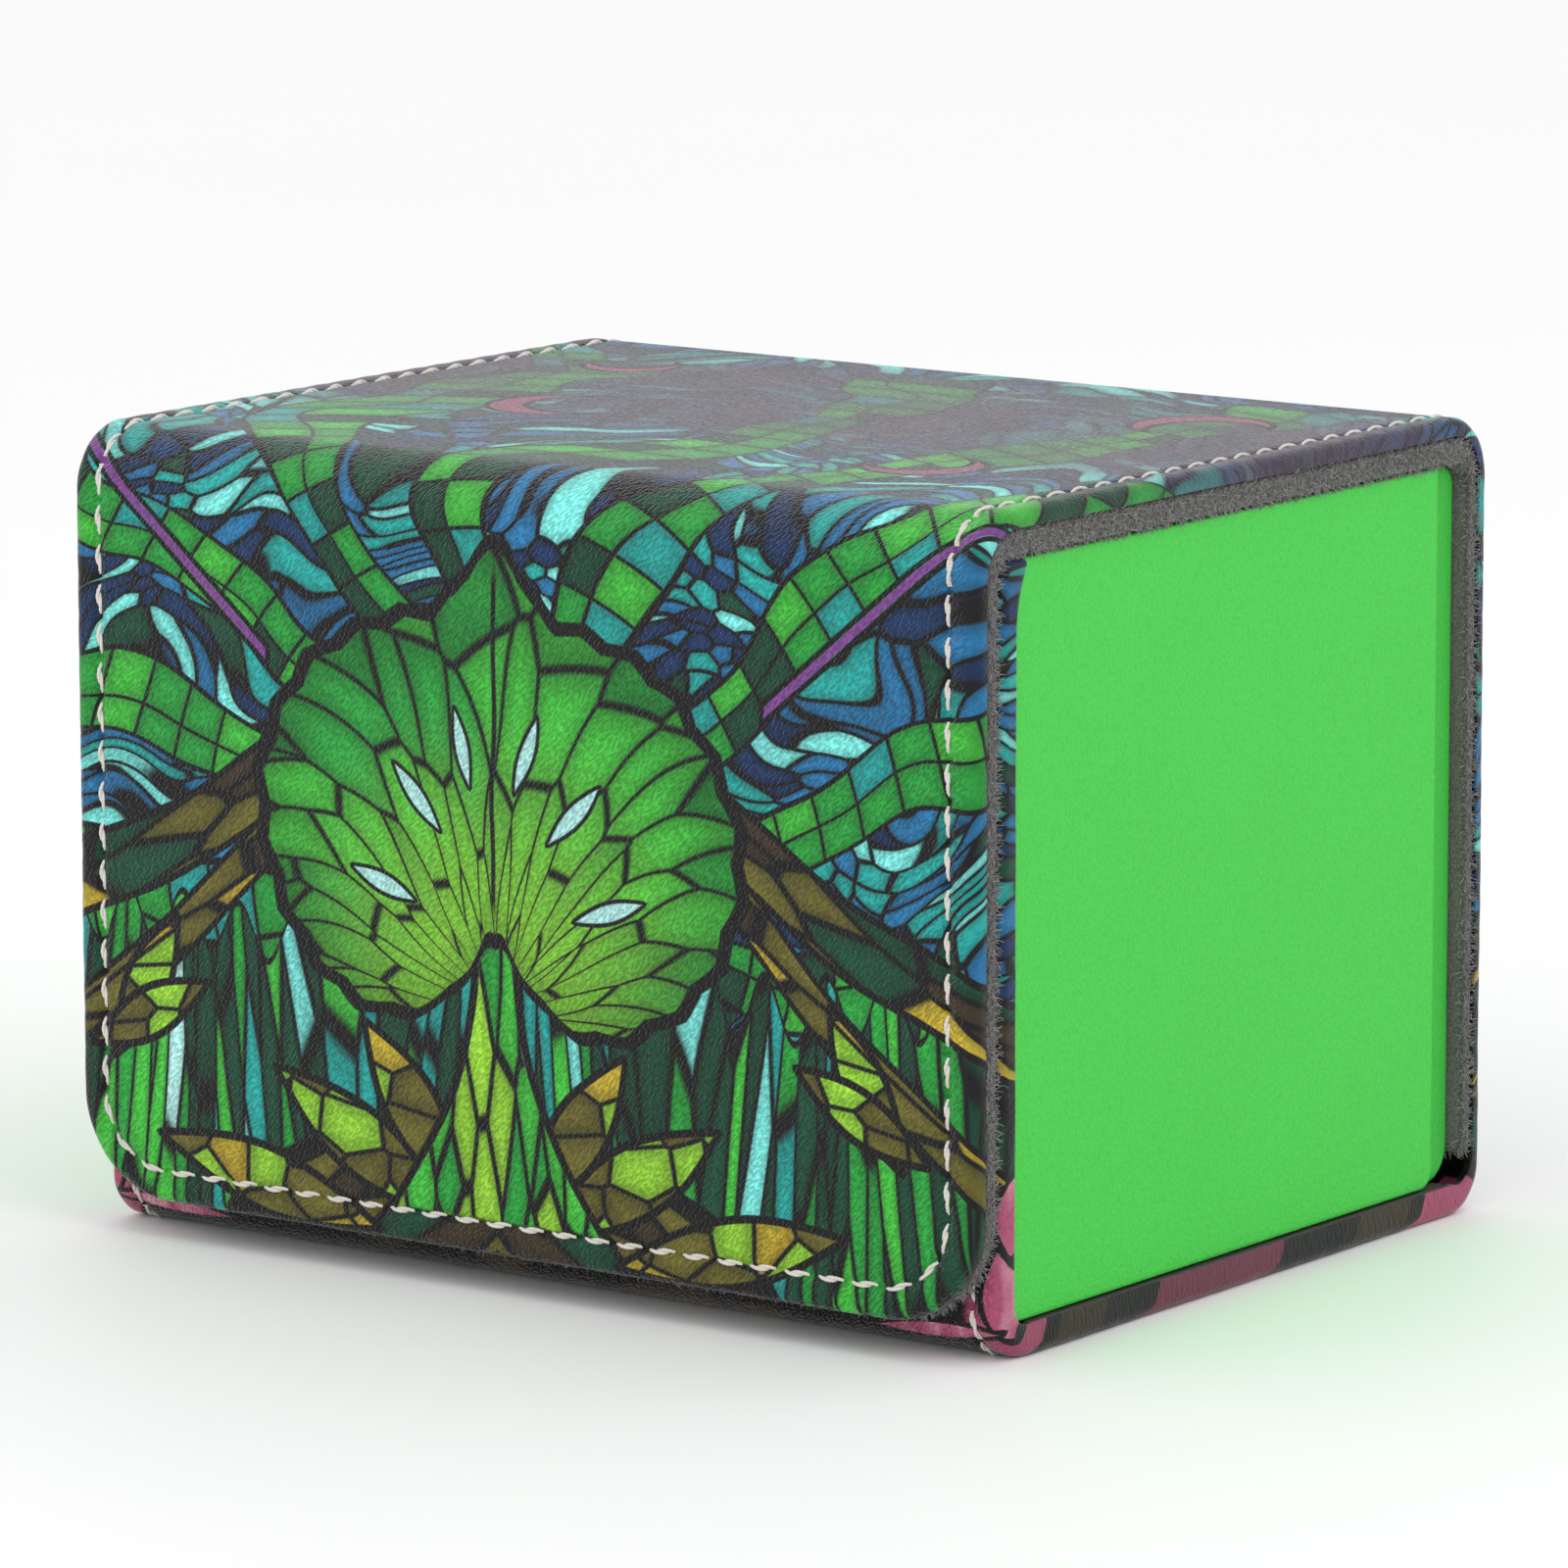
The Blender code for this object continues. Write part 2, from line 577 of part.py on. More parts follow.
def main():
    clear_scene()
    leather = make_material("printed_leather", (0.05, 0.22, 0.12), 0.5)
    lining = make_material("grey_lining", (0.15, 0.14, 0.135), 0.95)
    green = make_material("green_cover", (0.09, 0.65, 0.11), 0.55)
    board = make_material("paperboard", (0.35, 0.28, 0.2), 0.9)
    steel = make_material("magnet_plating", (0.6, 0.6, 0.62), 0.3, 1.0)
    thread = make_material("white_thread", (0.68, 0.65, 0.61), 0.7)

    lid_axis = make_axis("lid_hinge_axis", LID_CREASE)
    flap_axis = make_axis("flap_hinge_axis", FLAP_CREASE, lid_axis)

    lined_board_t = LINED_EDGE_T - BOARD_TOP_N
    front_board_t = FRONT_EDGE_T - BOARD_TOP_N
    bottom_board_t = BOTTOM_EDGE_T - BOARD_TOP_N

    make_base_leather(leather)
    make_base_thread(thread)
    front_board = make_board("front_board", FRONT_RUN, front_board_t, board, end_high=LEATHER_T)
    make_magnets("front", front_board, FRONT_Y, front_board_t, steel)
    make_board("bottom_board", BOTTOM_RUN, bottom_board_t, board)
    make_board("back_board", BACK_RUN, lined_board_t, board, end_high=BACK_LINING_FOOT)
    make_back_lining(lining)
    make_tray(green)
    make_side_pieces(green)
    make_tray_linings(lining)

    make_lid_leather(leather, lid_axis)
    make_board("lid_board", LID_RUN, lined_board_t, board, lid_axis)
    make_lid_lining(lining, lid_axis)
    make_lid_thread("lid_thread_left", -1, thread, lid_axis)
    make_lid_thread("lid_thread_right", 1, thread, lid_axis)

    make_flap_leather(leather, flap_axis)
    flap_board = make_board("flap_board", FLAP_RUN, lined_board_t, board, flap_axis,
                            radius_low=FLAP_CORNER_R - LEATHER_T, end_low=LEATHER_T)
    make_magnets("flap", flap_board, -HALF_DEPTH, lined_board_t, steel, flap_axis)
    make_flap_lining(lining, flap_axis)
    make_flap_thread(thread, flap_axis)


main()
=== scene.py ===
"""Card deck box: the looks of its leather, linings, stitching, covered tray and hidden stiffeners.

The leather is one strip that runs from the flap's lower edge over the lid, down the back, under the
box and up the front wall. It is laid out flat first, as (x, s, n): x across it, s along its outer
face, n into its thickness. Then it is folded round the box.
"""

import bisect
from math import atan2, cos, exp, hypot, pi, radians, sin

import bmesh
import bpy
from bpy.props import FloatProperty, FloatVectorProperty, IntProperty, PointerProperty
from mathutils import Matrix, Vector, noise


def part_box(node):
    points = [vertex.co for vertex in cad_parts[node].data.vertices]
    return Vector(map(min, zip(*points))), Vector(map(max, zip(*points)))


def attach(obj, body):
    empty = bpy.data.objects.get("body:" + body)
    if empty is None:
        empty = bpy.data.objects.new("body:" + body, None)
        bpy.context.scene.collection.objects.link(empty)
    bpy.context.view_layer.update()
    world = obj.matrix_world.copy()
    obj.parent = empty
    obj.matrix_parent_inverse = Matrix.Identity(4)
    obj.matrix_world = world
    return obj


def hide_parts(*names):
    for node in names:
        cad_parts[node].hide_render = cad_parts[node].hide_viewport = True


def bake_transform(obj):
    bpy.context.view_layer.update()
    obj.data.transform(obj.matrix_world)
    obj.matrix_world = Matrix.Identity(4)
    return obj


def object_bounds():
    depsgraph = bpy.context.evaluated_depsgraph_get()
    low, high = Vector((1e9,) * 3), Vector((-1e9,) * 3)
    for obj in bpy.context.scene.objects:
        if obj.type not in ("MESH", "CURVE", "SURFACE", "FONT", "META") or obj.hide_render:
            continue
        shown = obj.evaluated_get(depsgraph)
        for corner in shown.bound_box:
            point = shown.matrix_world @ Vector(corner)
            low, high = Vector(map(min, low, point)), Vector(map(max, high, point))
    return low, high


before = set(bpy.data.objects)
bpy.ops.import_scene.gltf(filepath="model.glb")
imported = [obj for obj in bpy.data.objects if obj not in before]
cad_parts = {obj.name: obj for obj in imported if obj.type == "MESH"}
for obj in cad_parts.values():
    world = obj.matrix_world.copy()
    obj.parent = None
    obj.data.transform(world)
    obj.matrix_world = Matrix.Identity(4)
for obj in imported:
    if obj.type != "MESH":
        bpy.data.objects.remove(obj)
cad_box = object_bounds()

bl_info = {
    "name": "Card Deck Box",
    "version": (1, 0, 0),
    "blender": (4, 5, 0),
    "location": "View3D > Sidebar > Deck Box",
    "description": "Makes the printed leather, linings, stitching and finishes of a card deck box",
    "category": "Add Mesh",
}

MM = 0.001
PER_METRE = 1000.0
WELD = 1e-7
PRINT_UV = "print"
FUZZ = "fuzz"
FOLD_BODIES = {"front_fold": (0, "flap", "lid"), "back_fold": (1, "lid", "base")}
FLAP_LOW, FLAP_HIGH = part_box("flap_leather")
BASE_LOW, BASE_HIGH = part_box("base_leather")


def linear(red, green, blue):
    """A display colour, 0 to 255, as the linear colour that a material takes."""
    return tuple(((c / 255 + 0.055) / 1.055) ** 2.4 if c > 10 else c / 255 / 12.92
                 for c in (red, green, blue))


# ---------------------------------------------------------------- properties


def length(name, description, default):
    return FloatProperty(name=name, description=description, default=default, unit="LENGTH",
                         subtype="DISTANCE", precision=5)


def tint(name, description, red, green, blue):
    return FloatVectorProperty(name=name, description=description, default=linear(red, green, blue),
                               size=3, min=0.0, max=1.0, subtype="COLOR")


class DeckBoxStrip(bpy.types.PropertyGroup):
    """Sizes of the leather strip and of the folds in it."""

    half_width: length("Half width", "Half the strip's width", FLAP_HIGH.x)
    front_y: length("Front", "Where the flap's outer face stands", FLAP_LOW.y)
    back_y: length("Back", "Where the back's outer face stands", BASE_HIGH.y)
    height: length("Height", "Height of the closed box", cad_box[1].z)
    flap_bottom: length("Flap foot", "Height of the flap's free edge", FLAP_LOW.z)
    front_wall_y: length("Front wall", "Outer face of the wall behind the flap", BASE_LOW.y)
    front_wall_top: length("Front wall top", "Height of the wall behind the flap", 74.9 * MM)
    fold_front_top: length("Front fold", "Outer radius of the flap's fold", 6.5 * MM)
    fold_back_top: length("Back fold", "Outer radius of the lid's fold", 6.0 * MM)
    fold_bottom: length("Lower folds", "Outer radius of the folds under the box", 5.0 * MM)
    thickness: length("Leather", "Thickness of the leather", 0.8 * MM)
    edge_roll: length("Edge roll", "Radius that the edge is turned over", 1.2 * MM)
    lined_edge: length("Lined edge", "Depth of the turned edge over a lining", 1.75 * MM)
    bottom_edge: length("Bottom edge", "Depth of the turned edge under the box", 3.2 * MM)
    front_edge: length("Front edge", "Depth of the turned edge on the front wall", 2.4 * MM)
    hem: length("Hem", "How far the front wall's hem swells at its top", 2.0 * MM)
    hem_run: length("Hem run", "Length over which the hem swells", 7.0 * MM)
    flap_corner: length("Flap corner", "Radius of the flap's lower corners", 10.5 * MM)
    wall_corner: length("Wall corner", "Radius of the front wall's top corners", 0.9 * MM)
    wander: length("Wander", "How far the hand-turned edge wanders", 0.09 * MM)
    fold_margin: length("Fold margin", "Flat leather kept on each side of a fold piece", 1.0 * MM)
    fold_steps: IntProperty(name="Fold steps", description="Facets round a fold", default=18, min=4)
    roll_steps: IntProperty(name="Roll steps", description="Facets round an edge", default=6, min=2)
    corner_steps: IntProperty(name="Corner steps", description="Facets round a corner", default=20,
                              min=4)


class DeckBoxSeam(bpy.types.PropertyGroup):
    """Sizes of the seam that runs round the strip."""

    inset: length("Inset", "Distance of the seam from the edge", 3.2 * MM)
    pitch: length("Pitch", "Distance from one needle hole to the next", 3.9 * MM)
    stitch: length("Stitch", "Length of thread that shows", 2.85 * MM)
    thread: length("Thread", "Thickness of the two-ply thread", 0.68 * MM)
    rise: length("Rise", "Height of a stitch's middle over the leather", -0.04 * MM)
    press: length("Press", "How deep the stitches under the box are pressed in", 0.3 * MM)
    press_reach: length("Press reach", "How far up the lower folds they are pressed", 1.6 * MM)
    sink: length("Sink", "How deep a stitch ends in its hole", 0.46 * MM)
    valley: length("Valley", "How far the seam draws the leather in", 0.2 * MM)
    hole: length("Hole", "How much deeper the leather is at a needle hole", 0.34 * MM)
    hole_reach: length("Hole reach", "How far a needle hole draws the leather", 0.42 * MM)
    gather: length("Gather", "How far the margin swells between two holes", 0.06 * MM)
    slant: FloatProperty(name="Slant", description="How far a stitch turns off the seam",
                         default=radians(5.0), subtype="ANGLE")
    jitter: FloatProperty(name="Unevenness", description="How unlike each other the stitches lie",
                          default=radians(3.0), subtype="ANGLE")
    twist: FloatProperty(name="Twist", description="Turn of the plies over one stitch",
                         default=radians(300.0), subtype="ANGLE")
    seed: IntProperty(name="Seed", description="Seed of the stitches' unevenness", default=7)


class DeckBoxLining(bpy.types.PropertyGroup):
    """Sizes of the grey linings and of their nap."""

    glue_gap: length("Glue gap", "Gap between the leather's edge and the lining", 0.15 * MM)
    flap: length("Flap lining", "Thickness of the flap's lining", 1.9 * MM)
    lid: length("Lid lining", "Thickness of the lid's lining", 2.5 * MM)
    back: length("Back lining", "Thickness of the back's lining", 1.5 * MM)
    inset: length("Lining inset", "How far the lining stays inside the leather", 0.2 * MM)
    edge_share: FloatProperty(name="Edge rounding", description="Rounding as a share of thickness",
                              default=0.26, subtype="FACTOR", min=0.05, max=0.5)
    foot: length("Lining foot", "Where the back lining stops above the lower fold", 1.0 * MM)
    wander: length("Lining wander", "How far the cut edge wanders", 0.1 * MM)
    fibre: length("Fibre", "Length of the fibres on a cut edge", 0.75 * MM)
    fibre_width: length("Fibre width", "Thickness of a fibre", 0.12 * MM)
    density: FloatProperty(name="Fibres", description="Fibres on a square metre of cut edge",
                           default=9.0e6, min=0.0)
    seed: IntProperty(name="Fibre seed", description="Seed of the fibres' places", default=3)


class DeckBoxColours(bpy.types.PropertyGroup):
    """Colours of the print, the covers, the linings and the thread."""

    # Outline is also the colour of the painted shade on the turned-under leather and under the box.
    outline: tint("Outline", "The print's dark leads", 12, 9, 13)
    navy: tint("Navy", "The darkest sky glass", 14, 46, 88)
    blue: tint("Blue", "Mid blue glass", 30, 110, 158)
    teal: tint("Teal", "Teal glass", 28, 158, 152)
    cyan: tint("Cyan", "Pale cyan glass", 118, 222, 214)
    ice: tint("Ice", "The palest slivers of glass", 176, 232, 226)
    forest: tint("Forest", "The darkest green glass", 8, 68, 46)
    leaf: tint("Leaf", "Mid green glass", 34, 156, 58)
    grass: tint("Grass", "Light green glass", 62, 184, 58)
    lime: tint("Lime", "Yellow-green glass", 146, 206, 52)
    olive: tint("Olive", "Olive ground", 104, 98, 34)
    gold: tint("Gold", "Gold leaves", 190, 166, 44)
    earth: tint("Earth", "Dark brown ground", 58, 46, 28)
    orange: tint("Orange", "Small warm touches", 226, 116, 34)
    purple: tint("Purple", "Purple stripes", 128, 66, 146)
    dusk: tint("Dusk", "Purple haze of the lid", 74, 58, 78)
    pink: tint("Pink", "Petals under the box", 188, 84, 122)
    blush: tint("Blush", "Pale petals", 222, 150, 172)
    cover: tint("Cover", "Green covering of the tray", 60, 200, 64)
    suede: tint("Suede", "Grey lining", 112, 109, 107)
    nap: tint("Nap", "Loose fibres of the lining", 148, 146, 144)
    thread: tint("Thread", "Off-white sewing thread", 226, 220, 212)
    board: tint("Board", "Dark grey-brown paperboard", 74, 66, 58)
    nickel: tint("Nickel", "Plating of the magnets", 206, 203, 197)
    floor: tint("Floor", "Pale studio floor", 250, 250, 250)


class DeckBoxStage(bpy.types.PropertyGroup):
    """Camera, light and floor."""

    yaw: FloatProperty(name="Yaw", description="Camera angle round the box", default=0.62986,
                       subtype="ANGLE")
    pitch: FloatProperty(name="Pitch", description="Camera angle above the floor", default=0.17412,
                         subtype="ANGLE")
    roll: FloatProperty(name="Roll", description="Camera roll", default=-0.0015338, subtype="ANGLE")
    distance: length("Distance", "Camera distance", 928.38 * MM)
    shift_up: length("Rise", "Camera centre above the box's centre", 3.603 * MM)
    lens: FloatProperty(name="Lens", description="Focal length in millimetres", default=217.5)
    floor_size: length("Floor", "Width of the floor", 6.0)
    world: FloatProperty(name="Surround", description="Brightness of the surround", default=1.0)
    key: FloatProperty(name="Key light", description="Power of the key light", default=1.1)
    fill: FloatProperty(name="Fill light", description="Power of the fill light", default=0.5)


# ---------------------------------------------------------------- the folded strip


class FoldedStrip:
    """The strip's outer face in the YZ plane: straight runs joined by right-hand quarter folds."""

    def __init__(self, sizes):
        front, back, wall = sizes.front_y, sizes.back_y, sizes.front_wall_y
        corners = [Vector(c) for c in (
            (front, sizes.flap_bottom), (front, sizes.height), (back, sizes.height),
            (back, 0.0), (wall, 0.0), (wall, sizes.front_wall_top))]
        radii = (sizes.fold_front_top, sizes.fold_back_top, sizes.fold_bottom,
                 sizes.fold_bottom, 0.0)
        self.steps = sizes.fold_steps
        self.runs, self.folds, self.pieces = [], [], []
        s = before = 0.0
        for start, end, radius in zip(corners, corners[1:], radii):
            along = (end - start).normalized()
            inward = Vector((along.y, -along.x))
            origin = start + along * before
            span = (end - start).length - before - radius
            self.pieces.append((s, origin, along, inward, 0.0))
            self.runs.append((s, s + span))
            s += span
            if radius:
                centre = end - along * radius + inward * radius
                self.pieces.append((s, centre, along, inward, radius))
                self.folds.append((s, s + radius * pi / 2))
                s += radius * pi / 2
            before = radius
        self.starts = [piece[0] for piece in self.pieces]
        self.end = s

    def frame_at(self, s):
        """The point, the forward direction and the inward direction of the outer face at s."""
        index = max(0, bisect.bisect_right(self.starts, s) - 1)
        start, origin, along, inward, radius = self.pieces[index]
        if not radius:
            return origin + along * (s - start), along, inward
        angle = (s - start) / radius
        out = along * sin(angle) - inward * cos(angle)
        return origin + out * radius, along * cos(angle) + inward * sin(angle), -out

    def place(self, x, s, n):
        """The world point at x across, s along the outer face and n inside it."""
        point, _, inward = self.frame_at(s)
        y, z = point + inward * n
        return Vector((x, y, z))

    def stations(self):
        return [low + (high - low) * k / self.steps
                for low, high in self.folds for k in range(self.steps + 1)]

    def fold_ends(self, index, depth):
        """Where a fold piece starts and ends its bend, for layers down to a depth."""
        low, high = self.folds[index]
        start, end = self.place(0.0, low, 0.0), self.place(0.0, high, 0.0)
        toward = (end - start).normalized() * (depth / 2 ** 0.5)
        return start + toward, end - toward


class Seam:
    """The stitch line: up from the middle of the flap's foot, along a side, to the wall's top."""

    def __init__(self, sizes, seam, strip):
        self.inset = seam.inset
        self.half = sizes.half_width
        self.corner = sizes.flap_corner
        self.radius = self.corner - self.inset
        self.flat = self.half - self.corner
        self.side_start = self.flat + self.radius * pi / 2
        self.side_end = self.side_start + strip.end - self.inset - self.corner
        self.end = self.side_end + self.half - self.inset
        self.count = round(self.end / seam.pitch)
        self.pitch = self.end / self.count

    def run(self, x, s):
        """How far along the seam the point beside (x, s) lies."""
        x = abs(x)
        if self.side_end - self.side_start + self.corner - s < WELD:
            return self.side_end + max(self.half - self.inset - x, 0.0)
        if s >= self.corner:
            return self.side_start + s - self.corner
        if x <= self.flat:
            return x
        return self.flat + self.radius * atan2(x - self.flat, self.corner - s)

    def point(self, run):
        """The seam's (x, s) on the right side at a distance along it, and its direction."""
        if run < self.flat:
            return run, self.inset, 1.0, 0.0
        if run < self.side_start:
            angle = (run - self.flat) / self.radius
            return (self.flat + self.radius * sin(angle), self.corner - self.radius * cos(angle),
                    cos(angle), sin(angle))
        if run < self.side_end:
            return self.half - self.inset, self.corner + run - self.side_start, 0.0, 1.0
        return (self.half - self.inset - (run - self.side_end),
                self.side_end - self.side_start + self.corner, -1.0, 0.0)

    def from_hole(self, run):
        """Distance along the seam to the nearest needle hole."""
        return abs(run - round(run / self.pitch) * self.pitch)


# ---------------------------------------------------------------- mesh helpers


def new_piece(name, mesh, material):
    mesh.materials.clear()
    mesh.materials.append(material)
    piece = bpy.data.objects.new(name, mesh)
    bpy.context.scene.collection.objects.link(piece)
    return piece


def finish_mesh(name, bm, material, smooth_angle=radians(38.0)):
    """Closes a bmesh into a smooth-shaded piece that stands at the origin."""
    bmesh.ops.remove_doubles(bm, verts=bm.verts, dist=WELD)
    bmesh.ops.dissolve_degenerate(bm, edges=bm.edges, dist=WELD)
    bmesh.ops.recalc_face_normals(bm, faces=bm.faces)
    mesh = bpy.data.meshes.new(name)
    bm.to_mesh(mesh)
    bm.free()
    mesh.shade_smooth()
    mesh.set_sharp_from_angle(angle=smooth_angle)
    return new_piece(name, mesh, material)


class Outline:
    """A rounded rectangle in (x, s) that can be drawn at any inset with the same points."""

    def __init__(self, half_width, low, high, radius_low, radius_high, steps, spacing):
        self.half, self.low, self.high = half_width, low, high
        self.radius_low, self.radius_high, self.steps = radius_low, radius_high, steps
        self.cuts = [max(2, round(span / spacing)) for span in (
            high - low - radius_low - radius_high, 2 * (half_width - radius_high),
            high - low - radius_low - radius_high, 2 * (half_width - radius_low))]

    def corners(self, inset):
        half, low, high = self.half - inset, self.low + inset, self.high - inset
        small, large = max(self.radius_low - inset, 0.0), max(self.radius_high - inset, 0.0)
        return ((half - small, low + small, small, -pi / 2),
                (half - large, high - large, large, 0.0),
                (large - half, high - large, large, pi / 2),
                (small - half, low + small, small, pi))

    def points(self, inset):
        drawn = []
        arcs = [[(x + radius * cos(start + pi / 2 * k / self.steps),
                  s + radius * sin(start + pi / 2 * k / self.steps)) for k in range(self.steps + 1)]
                for x, s, radius, start in self.corners(inset)]
        for index, arc in enumerate(arcs):
            drawn += arc
            (x0, s0), (x1, s1) = arc[-1], arcs[(index + 1) % 4][0]
            cuts = self.cuts[index]
            drawn += [(x0 + (x1 - x0) * k / cuts, s0 + (s1 - s0) * k / cuts)
                      for k in range(1, cuts)]
        return drawn


def ringed_solid(outline, rings, shape, marked=()):
    """A flat solid from rings of (inset, depth, print inset), capped at its first and last ring.

    shape(x, s, inset, depth) places a ring's point. Faces below a marked ring carry the fuzz mark.
    """
    bm = bmesh.new()
    uv_layer = bm.loops.layers.uv.new(PRINT_UV)
    fuzz_layer = bm.faces.layers.float.new(FUZZ)
    loops, prints = [], []
    for inset, depth, print_inset in rings:
        loops.append([bm.verts.new(shape(x, s, inset, depth)) for x, s in outline.points(inset)])
        prints.append(outline.points(print_inset))

    def add(verts, uvs):
        face = bm.faces.new(verts)
        for corner, uv in zip(face.loops, uvs):
            corner[uv_layer].uv = uv
        return face

    count = len(loops[0])
    for index in range(len(loops) - 1):
        one, other = loops[index], loops[index + 1]
        uv_one, uv_other = prints[index], prints[index + 1]
        for k in range(count):
            after = (k + 1) % count
            face = add((one[k], one[after], other[after], other[k]),
                       (uv_one[k], uv_one[after], uv_other[after], uv_other[k]))
            face[fuzz_layer] = 1.0 if index in marked else 0.0
    add(loops[0], prints[0])
    add(loops[-1][::-1], prints[-1][::-1])
    return bm


def trim(bm, s, keep_above):
    """Cuts the flat piece across at s and closes each cut end."""
    found = bmesh.ops.bisect_plane(
        bm, geom=bm.verts[:] + bm.edges[:] + bm.faces[:], plane_co=(0.0, s, 0.0),
        plane_no=(0.0, 1.0, 0.0), clear_outer=not keep_above, clear_inner=keep_above)
    edges = [part for part in found["geom_cut"] if isinstance(part, bmesh.types.BMEdge)]
    bmesh.ops.edgeloop_fill(bm, edges=edges)


def score(bm, stations, low, high, wide_area=9e-6):
    """Splits the wide flat faces across at each station between low and high."""
    for s in stations:
        if not low < s < high:
            continue
        wide = [face for face in bm.faces if len(face.verts) > 4 or face.calc_area() > wide_area]
        edges = {edge for face in wide for edge in face.edges}
        verts = {vert for face in wide for vert in face.verts}
        bmesh.ops.bisect_plane(bm, geom=list(verts) + list(edges) + wide,
                               plane_co=(0.0, s, 0.0), plane_no=(0.0, 1.0, 0.0))


def fold(bm, strip):
    for vert in bm.verts:
        vert.co = strip.place(*vert.co)


def share(value, low, high):
    return min(max((value - low) / (high - low), 0.0), 1.0)


def wander(run, side, size, pitch=9.0 * MM):
    """A slow unevenness along an edge."""
    return size * noise.noise(Vector((run / pitch, side * 3.1, 0.5)))


# ---------------------------------------------------------------- node trees


class Wire:
    """A node's output that Python's operators can be used on; each adds a Math node."""

    def __init__(self, build, socket):
        self.build = build
        self.socket = socket

    def math(self, operation, *others):
        return self.build.math(operation, self, *others)

    def __add__(self, other):
        return self.math("ADD", other)

    def __sub__(self, other):
        return self.math("SUBTRACT", other)

    def __rsub__(self, other):
        return self.build.math("SUBTRACT", other, self)

    def __mul__(self, other):
        return self.math("MULTIPLY", other)

    def __truediv__(self, other):
        return self.math("DIVIDE", other)

    def __abs__(self):
        return self.math("ABSOLUTE")

    __radd__ = __add__
    __rmul__ = __mul__


class Build:
    """Adds nodes to a tree: a type, its settings, then its sockets."""

    def __init__(self, tree):
        self.tree = tree

    def node(self, kind, settings=None, inputs=None):
        made = self.tree.nodes.new(kind)
        for key, value in (settings or {}).items():
            if key == "stops":
                self.set_stops(made.color_ramp, value)
            else:
                setattr(made, key, value)
        for key, value in (inputs or {}).items():
            self.feed(made.inputs[key], value)
        return made

    def wire(self, kind, settings=None, inputs=None, output=0):
        return Wire(self, self.node(kind, settings, inputs).outputs[output])

    def feed(self, socket, value):
        if isinstance(value, Wire):
            self.tree.links.new(value.socket, socket)
        else:
            socket.default_value = value

    @staticmethod
    def set_stops(ramp, stops):
        ramp.interpolation = "CONSTANT"
        while len(ramp.elements) < len(stops):
            ramp.elements.new(1.0)
        for element, (position, colour) in zip(ramp.elements, stops):
            element.position = position
            element.color = (*colour, 1.0)

    def math(self, operation, *values):
        return self.wire("ShaderNodeMath", {"operation": operation}, dict(enumerate(values)))

    def smooth(self, value, low, high):
        """0 below low, 1 above high, an even S between them."""
        return self.wire("ShaderNodeMapRange", {"interpolation_type": "SMOOTHSTEP"},
                         {"Value": value, "From Min": low, "From Max": high})

    def below(self, value, edge, soft=0.09):
        """1 where value is under edge, with a thin soft rim."""
        return 1 - self.smooth(value, edge - soft, edge + soft)

    def combine(self, x, y, z=0.0):
        return self.wire("ShaderNodeCombineXYZ", None, {0: x, 1: y, 2: z})

    def separate(self, vector):
        made = self.node("ShaderNodeSeparateXYZ", None, {0: vector})
        return [Wire(self, socket) for socket in made.outputs]

    def reach(self, x, y):
        """The distance from a point that lies x and y away."""
        return self.math("SQRT", x * x + y * y)

    def scaled(self, vector, factor):
        return self.wire("ShaderNodeVectorMath", {"operation": "SCALE"},
                         {0: vector, "Scale": factor})

    def mix(self, factor, one, other):
        rgba = [one if isinstance(one, Wire) else (*one, 1.0),
                other if isinstance(other, Wire) else (*other, 1.0)]
        return self.wire("ShaderNodeMix", {"data_type": "RGBA"},
                         {0: factor, 6: rgba[0], 7: rgba[1]}, 2)

    def noise(self, vector, scale, detail=2.0, output=0):
        return self.wire("ShaderNodeTexNoise", None,
                         {"Vector": vector, "Scale": scale, "Detail": detail}, output)

    def cells(self, vector, feature, jitter, output, scale=1.0, dimensions="2D"):
        return self.wire("ShaderNodeTexVoronoi",
                         {"feature": feature, "voronoi_dimensions": dimensions},
                         {"Vector": vector, "Randomness": jitter, "Scale": scale}, output)

    def ramp(self, value, stops):
        return self.wire("ShaderNodeValToRGB", {"stops": stops}, {0: value})

    def place(self, factor=PER_METRE):
        """Object coordinates, in millimetres unless another factor is given."""
        return self.scaled(self.wire("ShaderNodeTexCoord", None, None, "Object"), factor)


class Finish(Build):
    """A new material whose one Principled shader has its constants set."""

    def __init__(self, name, constants=None):
        self.material = bpy.data.materials.new(name)
        self.material.use_nodes = True
        super().__init__(self.material.node_tree)
        self.sockets = self.tree.nodes["Principled BSDF"].inputs
        for label, value in (constants or {}).items():
            self.sockets[label].default_value = value

    def dress(self, colour, shade, rough, bump=None):
        """Feeds a shaded colour, a roughness and a (strength, distance, height) bump."""
        if not isinstance(colour, Wire):
            colour = self.combine(*colour)
        self.feed(self.sockets["Base Color"], self.scaled(colour, shade))
        self.feed(self.sockets["Roughness"], rough)
        if bump:
            inputs = dict(zip(("Strength", "Distance", "Height"), bump))
            self.feed(self.sockets["Normal"], self.wire("ShaderNodeBump", None, inputs))
        return self.material


# ---------------------------------------------------------------- the stained glass print


